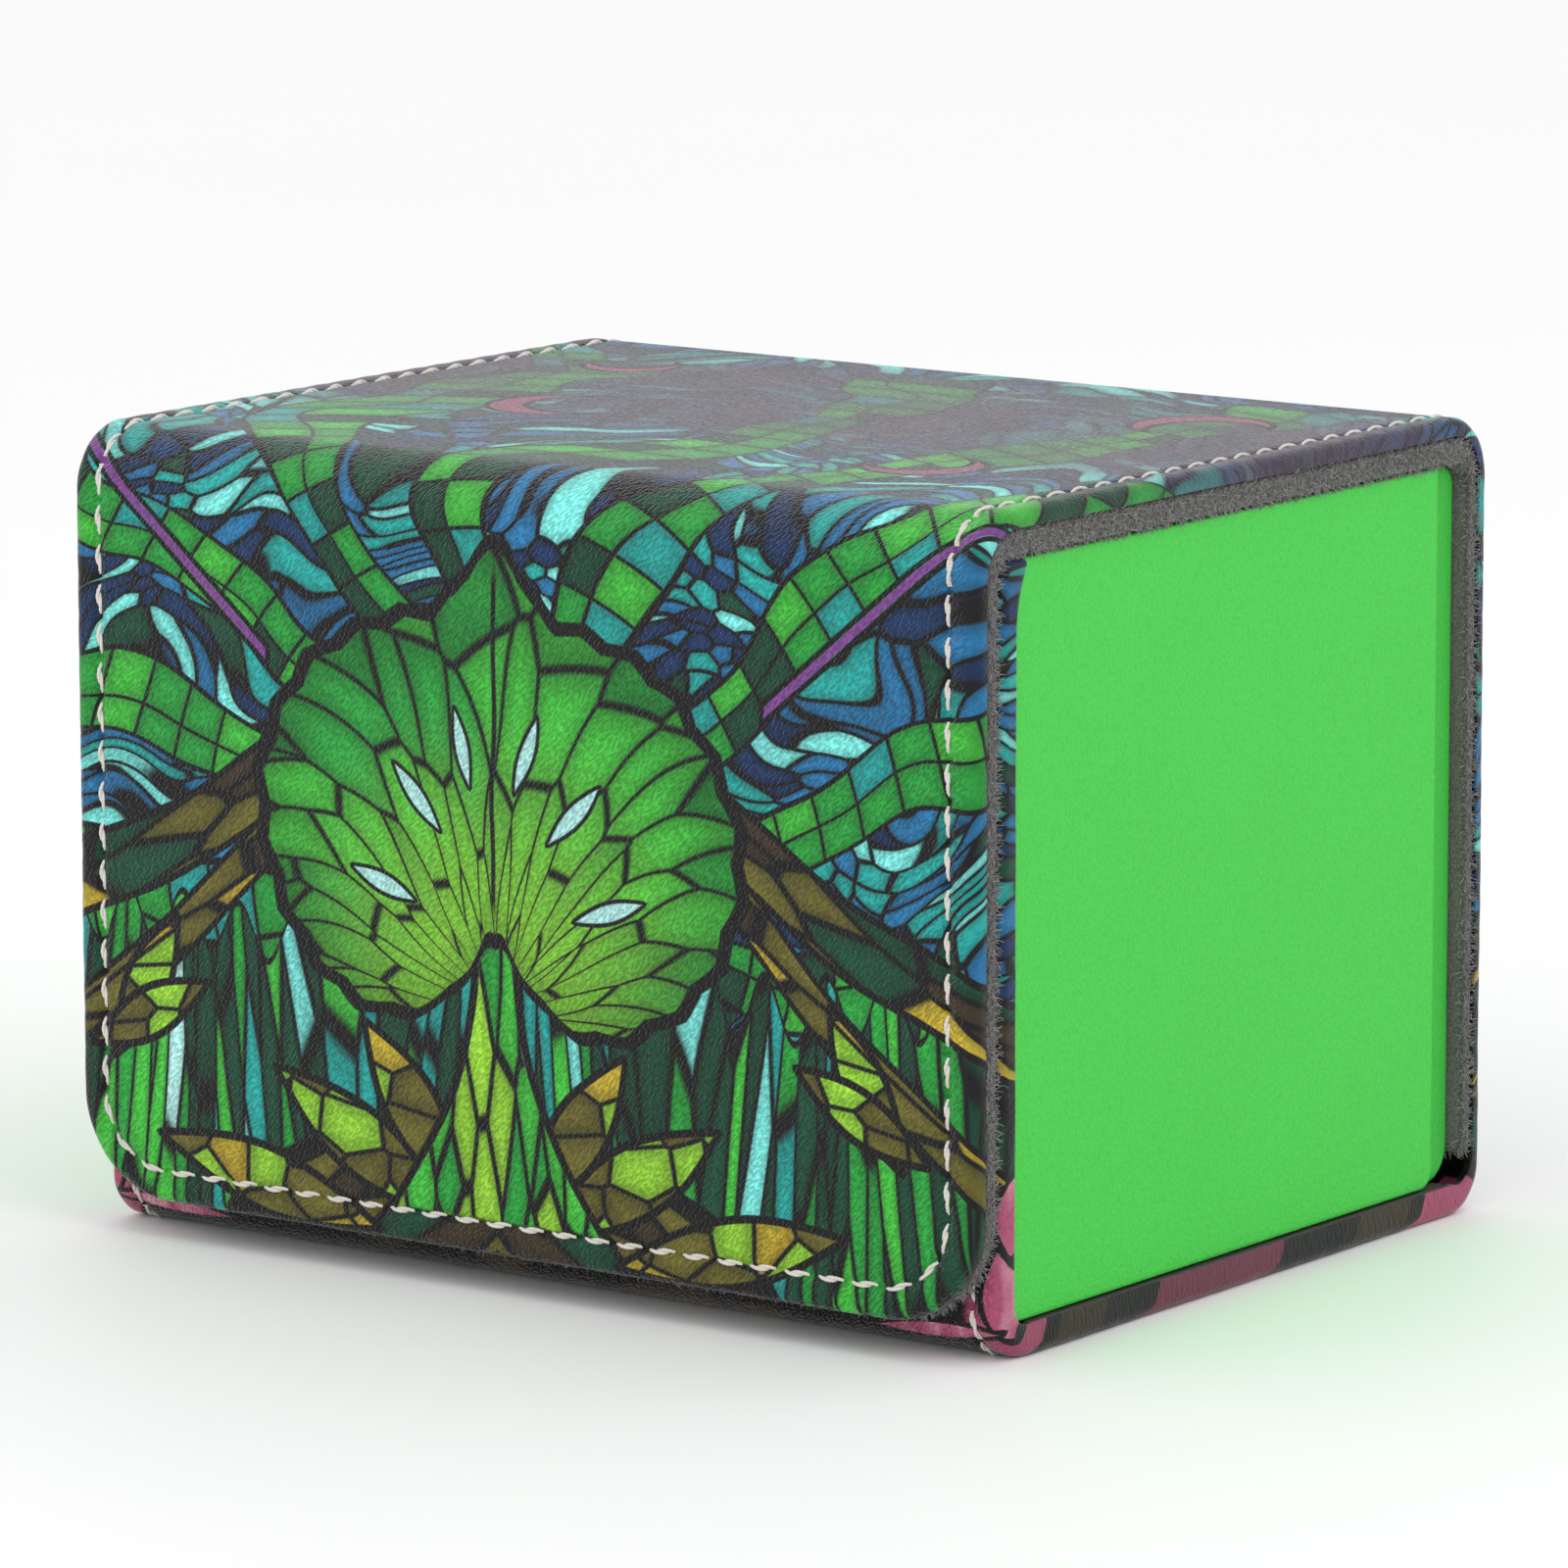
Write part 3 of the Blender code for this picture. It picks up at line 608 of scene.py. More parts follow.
class Glass:
    """Layers of the print: a colour and a mask of dark leads, painted one over another."""

    def __init__(self, build, colour, lead=0.0):
        self.build, self.lead = build, lead
        self.colour = colour if isinstance(colour, Wire) else build.combine(*colour)

    def over(self, below, mask, rim=None):
        """This layer over another inside a mask, with a lead where rim is 1."""
        colour = self.build.mix(mask, below.colour, self.colour)
        lead = below.lead + (self.lead - below.lead) * mask
        if rim is not None:
            lead = self.build.math("MAXIMUM", lead, rim)
        return Glass(self.build, colour, lead)

    def cut(self, below, off, rim, where=None, at=0.0, soft=0.09, rim_soft=0.09):
        """This layer over another where off is negative, with a lead of half width rim round it."""
        mask = self.build.below(off, 0.0, soft)
        edge = self.build.below(abs(off - at) if at else abs(off), rim, rim_soft)
        if where is not None:
            mask, edge = mask * where, edge * where
        return self.over(below, mask, edge)

    def leaves(self, below, a, h, rows, rim, where=None, at=0.0):
        """This layer over another in pointed leaves: rows of foot, base, lean, span and width."""
        for row in rows:
            below = self.cut(below, blade(self.build, a, h, *row), rim, where, at)
        return below


def panes(build, x, y, width, height, lead, stops, glow=0.5):
    """Leaded panes of about one width and height, in millimetres, painted from a palette."""
    spot = build.combine(x / width, y / height)
    size = min(width, height)
    edge = build.cells(spot, "DISTANCE_TO_EDGE", 1.0, "Distance") * size
    red, green, _ = build.separate(build.cells(spot, "F1", 1.0, "Color"))
    lit = build.smooth(edge, 0.0, size * 0.45) * glow + (1.0 - glow * 0.62) + (green - 0.5) * 0.3
    return Glass(build, build.scaled(build.ramp(red, stops), lit),
                 build.below(edge, lead / 2, 0.1))


def palette(*parts):
    """Constant ramp stops from (share, colour) pairs."""
    stops, reached = [], 0.0
    for part, colour in parts:
        stops.append((reached, tuple(colour)))
        reached += part
    return stops


def blade(build, a, h, foot, rise, angle, span, width):
    """Signed distance to a pointed leaf that grows from a foot, in millimetres."""
    along = (a - foot) * sin(angle) + (h - rise) * cos(angle)
    across = abs((a - foot) * cos(angle) - (h - rise) * sin(angle))
    part = build.math("MAXIMUM", build.math("MINIMUM", along / span, 1.0), 0.0)
    beyond = abs(along - part * span)
    return across + beyond - (part * pi).math("SINE") * width


def printed_glass(build, c, u, v):
    """The print on the strip, u across and v along it in millimetres: colour and lead mask."""
    # Height above the ground of each upright picture: flap and lid, back, front wall.
    back_ground, wall_ground = 240.0, 318.0
    back = build.smooth(v, 157.0, 160.0)
    wall = build.smooth(v, 300.0, 303.0)
    height = (v + back * ((back_ground - v) - v)
              + wall * ((v - wall_ground) - (back_ground - v)))
    spot = build.combine(u / 24.0, v / 24.0)
    drift_u, drift_v, drift_w = build.separate(build.noise(spot, 1.0, 1.0, "Color"))
    drift_u, drift_v = drift_u - 0.5, drift_v - 0.5
    centre = -2.0
    du = u - centre + drift_u * 3.0
    side = abs(du)

    picture = panes(build, u + drift_u * 46.0, v + drift_v * 46.0, 6.0, 2.8, 0.5,
                    palette((0.24, c.navy), (0.2, c.blue), (0.2, c.teal), (0.08, c.forest),
                            (0.15, c.cyan), (0.13, c.blue)), glow=0.62)

    # Lid: a purple dusk that fades out over both folds.
    lid = build.smooth(v, 90.0, 119.0) * (1 - build.smooth(v, 136.0, 162.0))
    haze = lid * (build.smooth(drift_w, 0.32, 0.6) * 0.44 + 0.46)
    faint = 1 - lid * 0.4
    picture = Glass(build, build.mix(haze, picture.colour, c.dusk), picture.lead * faint)

    # Beams that spread from behind the leaf, each a ladder of panes.
    dv = v - 36.0
    ray = build.reach(du, dv)
    angle = build.math("ARCTAN2", du, dv)
    step, rung, rail = 0.45, 5.0, 0.4
    bent = (angle + (ray / 17.0 + angle * 3.0).math("SINE") * 0.1 + drift_v * 0.3) / step + 8.5
    sector = bent.math("FLOOR")
    lateral = (bent - sector - 0.5) * step * ray
    half = build.math("MINIMUM", ray * 0.062 + 1.7, 6.5)
    off = abs(lateral) - half
    rungs = ray / rung + (sector * 0.37).math("SINE")
    row = rungs.math("FLOOR")
    to_rung = (0.5 - abs(rungs - row - 0.5)) * rung
    to_rail = build.math("MINIMUM", abs(lateral + rail), off * -1.0)
    edge = build.math("MINIMUM", to_rung, to_rail)
    pick = build.wire("ShaderNodeTexWhiteNoise", None,
                      {"Vector": build.combine(sector, row, (lateral + rail).math("SIGN"))})
    green = build.ramp(pick, palette((0.3, c.leaf), (0.26, c.grass), (0.18, c.forest),
                                     (0.16, c.leaf), (0.1, c.teal)))
    beam = Glass(build, build.scaled(green, build.smooth(edge, -0.5, 2.4) * 0.55 + 0.6),
                 build.below(edge, 0.2, 0.08))
    here = build.below(v, 150.0, 0.1) * build.below(abs(angle), 1.95, 0.05)
    picture = beam.cut(picture, off, 0.3, here)
    picture = Glass(build, build.mix(haze * 0.8, picture.colour, c.dusk), picture.lead * faint)

    # Grass: upright shards in front of the sky.
    blades = panes(build, u + (u / 6.0).math("SINE") * height * 0.12, height, 2.1, 19.0, 0.36,
                   palette((0.3, c.forest), (0.2, c.leaf), (0.14, c.teal), (0.12, c.grass),
                           (0.07, c.cyan), (0.04, c.ice), (0.13, c.forest)))
    tops = 29.0 + (u * 0.9).math("SINE") * 3.0 + drift_v * 8.0
    upright = build.below(v, 84.0, 1.0) + back * build.below(v, 231.0, 1.0) + wall
    picture = blades.cut(picture, height - tops, 0.4, upright, soft=0.2)

    # Hills: bands that run down from behind the leaf to both edges.
    hill_start = 20.0
    ground = panes(build, side * 0.86 - height * 0.5, side * 0.5 + height * 0.86, 12.0, 3.2, 0.5,
                   palette((0.24, c.earth), (0.26, c.olive), (0.16, c.forest), (0.18, c.gold),
                           (0.03, c.orange), (0.13, c.earth)))
    for drop, top, width in ((0.52, 47.0, 3.6), (0.86, 44.0, 2.6)):
        line = top - (side - hill_start) * drop
        off = abs(height - line + (side / 5.0).math("SINE") * 0.8) - width
        picture = ground.cut(picture, build.math("MAXIMUM", off, hill_start - side), 0.42, upright)

    # Mound with gold leaves at the foot of the leaf's stalk.
    flap = build.below(v, 80.0, 0.5)
    off = (build.reach(side / 33.0, (height + 3.0) / 15.0) - 1.0) * 14.0
    picture = ground.cut(picture, off, 0.6, upright)
    gilt = panes(build, side, height, 6.0, 4.6, 0.45,
                 palette((0.4, c.gold), (0.3, c.olive), (0.3, c.lime)))
    picture = gilt.leaves(picture, side, height, (
        (5.0, 3.0, 1.05, 25.0, 3.4), (4.0, 5.0, 0.62, 20.0, 3.0), (14.0, 1.0, 1.35, 28.0, 3.2),
        (47.0, 14.0, -0.5, 17.0, 2.6), (50.0, 15.0, -1.1, 17.0, 2.4)), 0.42, flap)

    # Purple stripes down from the upper corners.
    slope, start_u, start_v = 0.83, 30.0, 56.0
    off = abs(((v - start_v) - (abs(u) - start_u) * slope) * cos(atan2(slope, 1.0)))
    off = build.math("MAXIMUM", off, start_u - abs(u)) - 0.42
    here = build.below(v, 100.0, 3.0)
    picture = Glass(build, c.purple).cut(picture, off, 0.28, here, at=0.3)

    # The leaf's stalk, which spreads into roots.
    low = 30.0 - height
    off = side - (low * low * 0.014 + 2.0)
    here = build.below(abs(height - 19.0), 15.5, 0.3) * flap
    stalk = panes(build, du, height, 2.6, 11.0, 0.45,
                  palette((0.5, c.lime), (0.3, c.grass), (0.2, c.leaf)))
    picture = stalk.cut(picture, off, 0.5, here, at=0.5)

    # The leaf: broad, pointed at its top, with panes that fan out from its stalk.
    dv = v - 41.0
    turn = abs(build.math("ARCTAN2", du, dv))
    waist = turn.math("SINE")
    tip = build.math("EXPONENT", turn * turn * -26.0) * 6.5
    notch = build.math("EXPONENT", (pi - turn) * (pi - turn) * -7.0) * 11.0
    teeth = abs(build.math("FRACT", turn * (13.0 / pi)) - 0.5) * 1.9
    off = build.reach(du, dv) - (20.5 + waist * waist * 7.5 + tip - notch + teeth)
    stem_v = v - 25.0
    vein = build.reach(du, stem_v)
    fan = build.math("ARCTAN2", du, stem_v)
    swept = fan + (vein / 12.0).math("SINE") * fan * 0.3
    green = panes(build, swept * 17.0, vein, 3.3, 12.0, 0.3,
                  palette((0.3, c.leaf), (0.34, c.grass), (0.2, c.leaf), (0.16, c.grass)))
    glowing = build.mix((1 - build.smooth(vein, 3.0, 31.0)) * 0.75, green.colour, c.lime)
    shaded = build.scaled(glowing, 1 - build.smooth(off, -9.0, 0.0) * 0.34)
    rib = build.below(abs(du), 0.28) * build.below(off, -3.0, 1.0)
    leaf = Glass(build, shaded, build.math("MAXIMUM", green.lead, rib))
    picture = leaf.cut(picture, off, 0.78, flap, rim_soft=0.12)
    picture = Glass(build, c.ice).leaves(picture, side, v, (
        (2.6, 45.0, 0.3, 8.0, 0.8), (6.5, 40.5, 0.75, 8.5, 0.9), (9.5, 33.5, 1.25, 8.5, 0.9)),
        0.22, flap, at=0.1)

    # Petals under the box and round its lower folds.
    rim = 5.0 * drift_u
    under = build.smooth(v + rim, 225.0, 226.0) * (1 - build.smooth(v + rim, 329.0, 330.0))
    petals = panes(build, u + drift_v * 12.0, v + drift_u * 12.0, 9.0, 5.5, 0.9,
                   palette((0.06, c.pink), (0.02, c.blush), (0.42, c.outline), (0.33, c.earth),
                           (0.02, c.purple), (0.15, c.forest)))
    picture = petals.over(picture, under)

    # The margins under the box: painted shade in the outline colour, also at the front wall's lower
    # corners, with long smears of earth and rose between its dark stretches.
    under_box_painted_shade = Glass(build, c.outline)
    # The front wall's lower corners take the same painted shade.
    corner = build.below(abs(v - 323.0), 9.5, 0.3) * build.smooth(abs(u), 40.0, 41.0)
    picture = under_box_painted_shade.over(picture, corner)
    margin = (build.smooth(abs(u) + drift_v, 49.0, 50.0)
              * build.below(abs(v - 279.0), 44.0, 0.3))
    picture = under_box_painted_shade.over(picture, margin)
    for middle, half, paint, depth in (
            (317.5, 2.6, c.pink, 0.75), (309.0, 4.2, c.earth, 0.9), (286.0, 11.0, c.pink, 0.35),
            (257.0, 5.0, c.earth, 0.9), (243.0, 7.5, c.pink, 0.85)):
        off = abs(v + (abs(u) - 52.0) * 1.6 + drift_u * 2.0 - middle) - half
        smear = Glass(build, build.scaled(build.combine(*paint), depth))
        picture = smear.cut(picture, off, 0.4, margin)
    bloom = build.smooth(build.noise(build.combine(u / 3.0, v / 9.0), 1.0, 1.0), 0.4, 0.62)
    petal = Glass(build, build.mix(bloom, c.pink, c.blush))
    picture = petal.leaves(picture, abs(u), v, (
        (54.4, 326.5, 0.06, 8.0, 1.9), (54.2, 317.5, -0.12, 10.0, 2.2),
        (38.0, 318.2, 1.5, 15.5, 1.0)), 0.3, at=0.15)

    # Crescents on the lid.
    moon = Glass(build, build.mix(0.45, c.pink, c.dusk))
    for at_u, at_v, radius, turn in ((-24.0, 112.0, 7.0, 0.6), (30.0, 98.0, 6.0, 2.4),
                                     (36.0, 136.0, 7.0, -0.8), (-36.0, 140.0, 5.0, 2.0)):
        outer = build.reach(u - at_u, v - at_v) - radius
        x, y = at_u + radius * 0.42 * cos(turn), at_v + radius * 0.42 * sin(turn)
        off = build.math("MAXIMUM", outer, radius * 0.86 - build.reach(u - x, v - y))
        picture = moon.cut(picture, off, 0.35)
    return picture


def leather_material(colours):
    """Printed artificial leather: the glass print under a fine pebble grain and a satin coat."""
    build = Finish("printed_leather", {"Specular IOR Level": 0.26, "Sheen Weight": 0.36,
                                       "Sheen Roughness": 0.3})
    flat = build.scaled(build.wire("ShaderNodeUVMap", {"uv_map": PRINT_UV}), PER_METRE)
    u, v, _ = build.separate(flat)
    picture = printed_glass(build, colours, u, v)
    colour = build.mix(picture.lead, picture.colour, colours.outline)
    pebble = build.cells(flat, "SMOOTH_F1", 1.0, "Distance", 2.1)
    pores = build.noise(flat, 3.4, 3.0)
    slow = build.noise(flat, 0.12, 2.0)
    rolled = build.smooth(abs(u), 51.6, 53.2)
    # The embossed grain: short strokes that run up to the right.
    grain = build.noise(build.combine((u + v) * 1.15, (v - u) * 2.7), 1.0, 1.0)
    grain = build.smooth(grain, 0.34, 0.62) * (1 - rolled * 0.8)
    # The grain's strokes are painted into the colour too, lighter on the strokes and darker between
    # them: painted highlight and shade of the emboss. The pebble cells darken towards their edges
    # and the pores vary the tone.
    shade = pebble * -0.2 + pores * 0.2 + grain * 0.44 + 0.68
    # Where the leather is turned under, its print is darkened to the outline colour: painted shade.
    turned_under_painted_shade = build.smooth(abs(u), 54.75, 54.95)
    colour = build.mix(turned_under_painted_shade, colour, colours.outline)
    rough = pores * 0.16 + slow * 0.12 - grain * 0.12 + 0.36 - rolled * 0.08
    # Fine creases run across the strip where it is folded.
    creases = build.noise(build.combine(u * 0.5 + v * 0.4, v * 2.4), 1.0, 2.0)
    near = (build.below(abs(v - 74.4), 5.0, 3.0) + build.below(abs(v - 159.2), 5.0, 3.0)) * 0.9
    hatch = build.noise(build.combine(u * 0.7 + v * 1.3, v * 0.25 - u * 0.6), 1.6, 1.0)
    raised = (pebble * 0.16 + pores * 0.16 + grain * 0.8 + creases * near * 0.9
              + hatch * rolled * 0.12)
    return build.dress(colour, shade, rough, (1.0, 0.16 * MM, raised))


def cover_material(colours, name="green_cover", depth=1.0):
    """The tray's bright green covering: matt, with a very fine even grain."""
    build = Finish(name)
    place = build.place()
    grain = build.cells(place, "F1", 0.9, "Distance", 2.6, "3D")
    fine = build.noise(place, 4.5, 2.0)
    slow = build.noise(place, 0.05, 2.0)
    # A depth below 1 darkens the whole covering: the tray's copy uses it as painted shade.
    shade = (grain * -0.2 + fine * 0.26 + slow * 0.08 + 0.93) * depth
    return build.dress(colours.cover, shade, fine * 0.16 + 0.48,
                       (0.8, 0.08 * MM, grain + fine * 0.6))


def painted_shade_tray_material(colours):
    """The same covering on the tray, made a darker copy as painted shade where it stands behind the
    side panels.
    """
    return cover_material(colours, "tray_cover_painted_shade", 0.84)


def suede_material(colours):
    """Grey microsuede: mottled nap with a soft sheen."""
    build = Finish("microsuede", {"Sheen Weight": 0.45, "Sheen Roughness": 0.5,
                                  "Specular IOR Level": 0.2})
    place = build.place()
    nap = build.smooth(build.noise(place, 3.0, 3.0), 0.3, 0.7)
    brushed = build.noise(place, 0.16, 3.0)
    pile = build.cells(place, "F1", 1.0, "Distance", 3.2, "3D")
    cut = build.wire("ShaderNodeAttribute", {"attribute_name": FUZZ}, None, "Fac")
    shade = (nap * 0.62 + brushed * 0.4 - pile * 0.3 + 0.58) * (1 - cut * 0.34)
    return build.dress(colours.suede, shade, nap * 0.15 + 0.82, (0.9, 0.2 * MM, nap + pile * 0.7))


def nap_material(colours):
    """The lining's loose fibres: paler than its face, and uneven."""
    build = Finish("suede_nap", {"Sheen Weight": 0.3, "Specular IOR Level": 0.2})
    uneven = build.smooth(build.noise(build.place(), 1.8, 2.0), 0.3, 0.7)
    return build.dress(colours.nap, uneven * 0.7 + 0.55, uneven * 0.1 + 0.85)


def thread_material(colours):
    """Twisted off-white thread."""
    build = Finish("sewing_thread", {"Sheen Weight": 0.2})
    place = build.place()
    fibres = build.noise(place, 6.0, 2.0)
    slow = build.noise(place, 0.15, 1.0)
    return build.dress(colours.thread, fibres * 0.36 + slow * 0.2 + 0.7, fibres * 0.2 + 0.55,
                       (0.5, 0.05 * MM, fibres))


def board_material(colours):
    """Grey-brown pressed paperboard with flecks."""
    build = Finish("paperboard")
    place = build.place()
    pulp = build.noise(place, 0.9, 5.0)
    fleck = build.smooth(build.noise(place, 2.2, 2.0), 0.62, 0.7)
    return build.dress(colours.board, pulp * 0.5 + 0.74 - fleck * 0.3, pulp * 0.1 + 0.84,
                       (0.4, 0.1 * MM, pulp))


def magnet_material(colours):
    """Nickel plating with faint scuffs."""
    build = Finish("magnet_plating", {"Metallic": 1.0})
    scuff = build.noise(build.place(), 1.4, 5.0)
    return build.dress(colours.nickel, scuff * 0.3 + 0.85, scuff * 0.25 + 0.16)


def floor_material(colours):
    """A plain pale floor with the faintest unevenness."""
    build = Finish("studio_floor", {"Specular IOR Level": 0.2})
    slow = build.noise(build.place(1.0), 6.0, 1.0)
    return build.dress(colours.floor, slow * 0.02 + 0.98, 0.6)


MAKERS = {"printed_leather": leather_material, "green_cover": cover_material,
          "tray_cover_painted_shade": painted_shade_tray_material,
          "microsuede": suede_material, "suede_nap": nap_material, "sewing_thread": thread_material,
          "paperboard": board_material, "magnet_plating": magnet_material}
finishes = {}


def finish_named(slot, scene):
    """The material of a slot, made the first time it is asked for."""
    if slot not in finishes:
        finishes[slot] = MAKERS[slot](scene.deck_box_colours)
    return finishes[slot]


# ---------------------------------------------------------------- leather


def plan(scene):
    """The strip's sizes, the folded strip, its seam, and the ends of its two upper folds."""
    sizes = scene.deck_box_strip
    strip = FoldedStrip(sizes)
    return sizes, strip, Seam(sizes, scene.deck_box_seam, strip), strip.folds[:2]


def settle(piece, part, strip, depth):
    """Rides a piece on its body; a piece that crosses a fold only has its transform baked where it
    lies.
    """
    if part in FOLD_BODIES:
        index, one, other = FOLD_BODIES[part]
        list(strip.fold_ends(index, depth))
        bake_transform(piece)
    else:
        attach(piece, part if part in ("flap", "lid") else "base")


def leather_rings(sizes, seam):
    """The strip's section from its flat middle to its inner face, with each point's print inset."""
    half = 0.5 * MM
    across_seam = (5, 3, 2, 1.4, 0.9, 0.45, 0, -0.45, -0.9, -1.4, -2.1)
    rings = [(seam.inset + k * half, 0.0, seam.inset + k * half) for k in across_seam]
    roll = sizes.edge_roll
    for k in range(sizes.roll_steps + 1):
        angle = pi / 2 * k / sizes.roll_steps
        rings.append((roll * (1 - sin(angle)), roll * (1 - cos(angle)), roll * (1 - angle)))
    turned = roll * (1 - pi / 2)
    side = sizes.lined_edge - roll
    for part in (0.3, 0.6, 0.85):
        rings.append((0.0, roll + side * part, turned - side * part))
    leather = sizes.thickness
    rings += [(0.12 * MM, sizes.lined_edge, turned - side),
              (leather, sizes.lined_edge, turned - side - leather),
              (leather, leather, turned - 2 * side)]
    return rings


def seam_dip(sizes, seam, line):
    """A shape function: the leather drawn in along the seam, deepest at each needle hole."""
    valley_reach, gather_reach = 0.55 * MM, 1.6 * MM

    def shape(x, s, inset, depth):
        run = line.run(x, s)
        side = 1.0 if x > 0 else -1.0
        margin = share(inset, seam.inset + gather_reach, seam.inset)
        if depth < sizes.thickness and inset > 0.0:
            off = (inset - seam.inset) / valley_reach
            depth += seam.valley * exp(-off * off)
            reach = hypot(line.from_hole(run), inset - seam.inset) / seam.hole_reach
            depth += seam.hole * exp(-reach * reach)
            depth -= seam.gather * margin * sin(pi * line.from_hole(run) / line.pitch)
        if inset < sizes.edge_roll:
            pull = share(inset, sizes.edge_roll, 0.0) * wander(run, side, sizes.wander)
            x -= side * pull if s > sizes.flap_corner else 0.0
            s += pull if s < sizes.flap_corner else 0.0
        return x, s, depth
    return shape


def edge_depth(sizes, strip, lining, x, s):
    """How deep the base leather's turned edge is: lined back, thick underside, front wall."""
    back_end = strip.runs[2][1]
    lower, wall = strip.folds[2], strip.folds[3]
    if s < wall[0]:
        part = share(s, back_end - lining.foot, lower[1])
        return sizes.lined_edge + (sizes.bottom_edge - sizes.lined_edge) * part
    depth = sizes.bottom_edge + (sizes.front_edge - sizes.bottom_edge) * share(s, *wall)
    at_side = share(abs(x), sizes.half_width - sizes.wall_corner,
                    sizes.half_width - sizes.thickness)
    return depth + at_side * sizes.hem * share(s, strip.end - sizes.hem_run, strip.end) ** 2


def leather_piece(name, scene, strip, line, low, high, foot=False, wall=False):
    """One length of the leather strip, from low to high along it."""
    sizes, seam = scene.deck_box_strip, scene.deck_box_seam
    beyond = 3 * sizes.flap_corner
    start = 0.0 if foot else low - beyond
    end = strip.end if wall else high + beyond
    outline = Outline(sizes.half_width, start, end, sizes.flap_corner,
                      sizes.wall_corner if wall else sizes.flap_corner, sizes.corner_steps,
                      line.pitch / 8)
    bm = ringed_solid(outline, leather_rings(sizes, seam), seam_dip(sizes, seam, line))
    if not foot:
        trim(bm, low, keep_above=True)
    if not wall:
        trim(bm, high, keep_above=False)
    score(bm, strip.stations(), low, high)
    if wall:
        lining = scene.deck_box_lining
        for vert in bm.verts:
            x, s, n = vert.co
            if n > sizes.edge_roll + 1e-6:
                part = (n - sizes.edge_roll) / (sizes.lined_edge - sizes.edge_roll)
                deep = edge_depth(sizes, strip, lining, x, s)
                vert.co.z = sizes.edge_roll + (deep - sizes.edge_roll) * part
    fold(bm, strip)
    return finish_mesh(name, bm, finish_named("printed_leather", scene))


class DECKBOX_OT_leather(bpy.types.Operator):
    """Make the printed leather strip: flap, front fold, lid, back fold, and base"""

    bl_idname = "deckbox.leather"
    bl_label = "Printed leather"

    def execute(self, context):
        scene = context.scene
        sizes, strip, line, ((front_low, front_high), (back_low, back_high)) = plan(scene)
        margin = sizes.fold_margin
        cuts = (0.0, front_low - margin, front_high + margin, back_low - margin,
                back_high + margin, strip.end)
        parts = ("flap", "front_fold", "lid", "back_fold", "base")
        spans = dict(zip(parts, zip(cuts, cuts[1:])))
        made = {part: leather_piece("leather_" + part, scene, strip, line, low, high,
                                    foot=part == "flap", wall=part == "base")
                for part, (low, high) in spans.items()}
        for part, piece in made.items():
            settle(piece, part, strip, sizes.lined_edge)
        for part, board, others in (("flap", "flap_board", ["front_fold"]),
                                    ("lid", "lid_board", ["back_fold"]),
                                    ("base", "back_board", [])):
            low, high = spans[part]
            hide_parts(part + "_leather")
            high - low
        return {"FINISHED"}


# ---------------------------------------------------------------- linings


def lining_rings(thickness, top, share_rounded, steps=5, flat_rim=1.2 * MM):
    """A soft cut edge: rounded over from the leather side to the inner face."""
    edge = share_rounded * thickness
    rings = [(edge + flat_rim, top, 0.0)]
    for k in range(steps + 1):
        angle = pi / 2 * k / steps
        rings.append((edge * (1 - sin(angle)), top + edge * (1 - cos(angle)), 0.0))
    middle = thickness - 2 * edge
    rings += [(0.0, top + edge + middle * k / 3, 0.0) for k in (1, 2)]
    for k in range(steps + 1):
        angle = pi / 2 * (1 - k / steps)
        rings.append((edge * (1 - sin(angle)), top + thickness - edge * (1 - cos(angle)), 0.0))
    rings.append((edge + flat_rim, top + thickness, 0.0))
    return rings


def lining_piece(name, scene, strip, line, thicknesses, low, high, foot=False, cut_end=False):
    """One length of lining, tapered from low to high along the strip, under the leather."""
    thickness, thickness_high = thicknesses
    sizes, lining = scene.deck_box_strip, scene.deck_box_lining
    top = sizes.lined_edge + lining.glue_gap
    beyond = 3 * sizes.flap_corner
    start = lining.inset if foot else low - beyond
    end = high if cut_end else high + beyond
    corner = sizes.flap_corner - lining.inset
    outline = Outline(sizes.half_width - lining.inset, start, end, corner,
                      1.0 * MM if cut_end else corner, sizes.corner_steps, 1.3 * MM)
    rings = lining_rings(thickness, top, lining.edge_share)

    def shape(x, s, inset, depth):
        run = line.run(x, s)
        side = 1.0 if x > 0 else -1.0
        pull = (wander(run, side + 5.0, lining.wander, 3.0 * MM)
                + wander(run, side, lining.wander, 14.0 * MM))
        pull = max(pull, 0.0) if inset < lining.edge_share * thickness else 0.0
        if s > sizes.flap_corner:
            x -= side * pull
        else:
            s += pull
        return x, s, depth

    bm = ringed_solid(outline, rings, shape, marked=range(1, len(rings) - 2))
    if not foot:
        trim(bm, low, keep_above=True)
    if not cut_end:
        trim(bm, high, keep_above=False)
    score(bm, strip.stations(), low, high)
    if thickness_high != thickness:
        for vert in bm.verts:
            part = (vert.co.z - top) / thickness
            vert.co.z += part * (thickness_high - thickness) * share(vert.co.y, low, high)
    fold(bm, strip)
    return finish_mesh(name, bm, finish_named("microsuede", scene), radians(50.0))


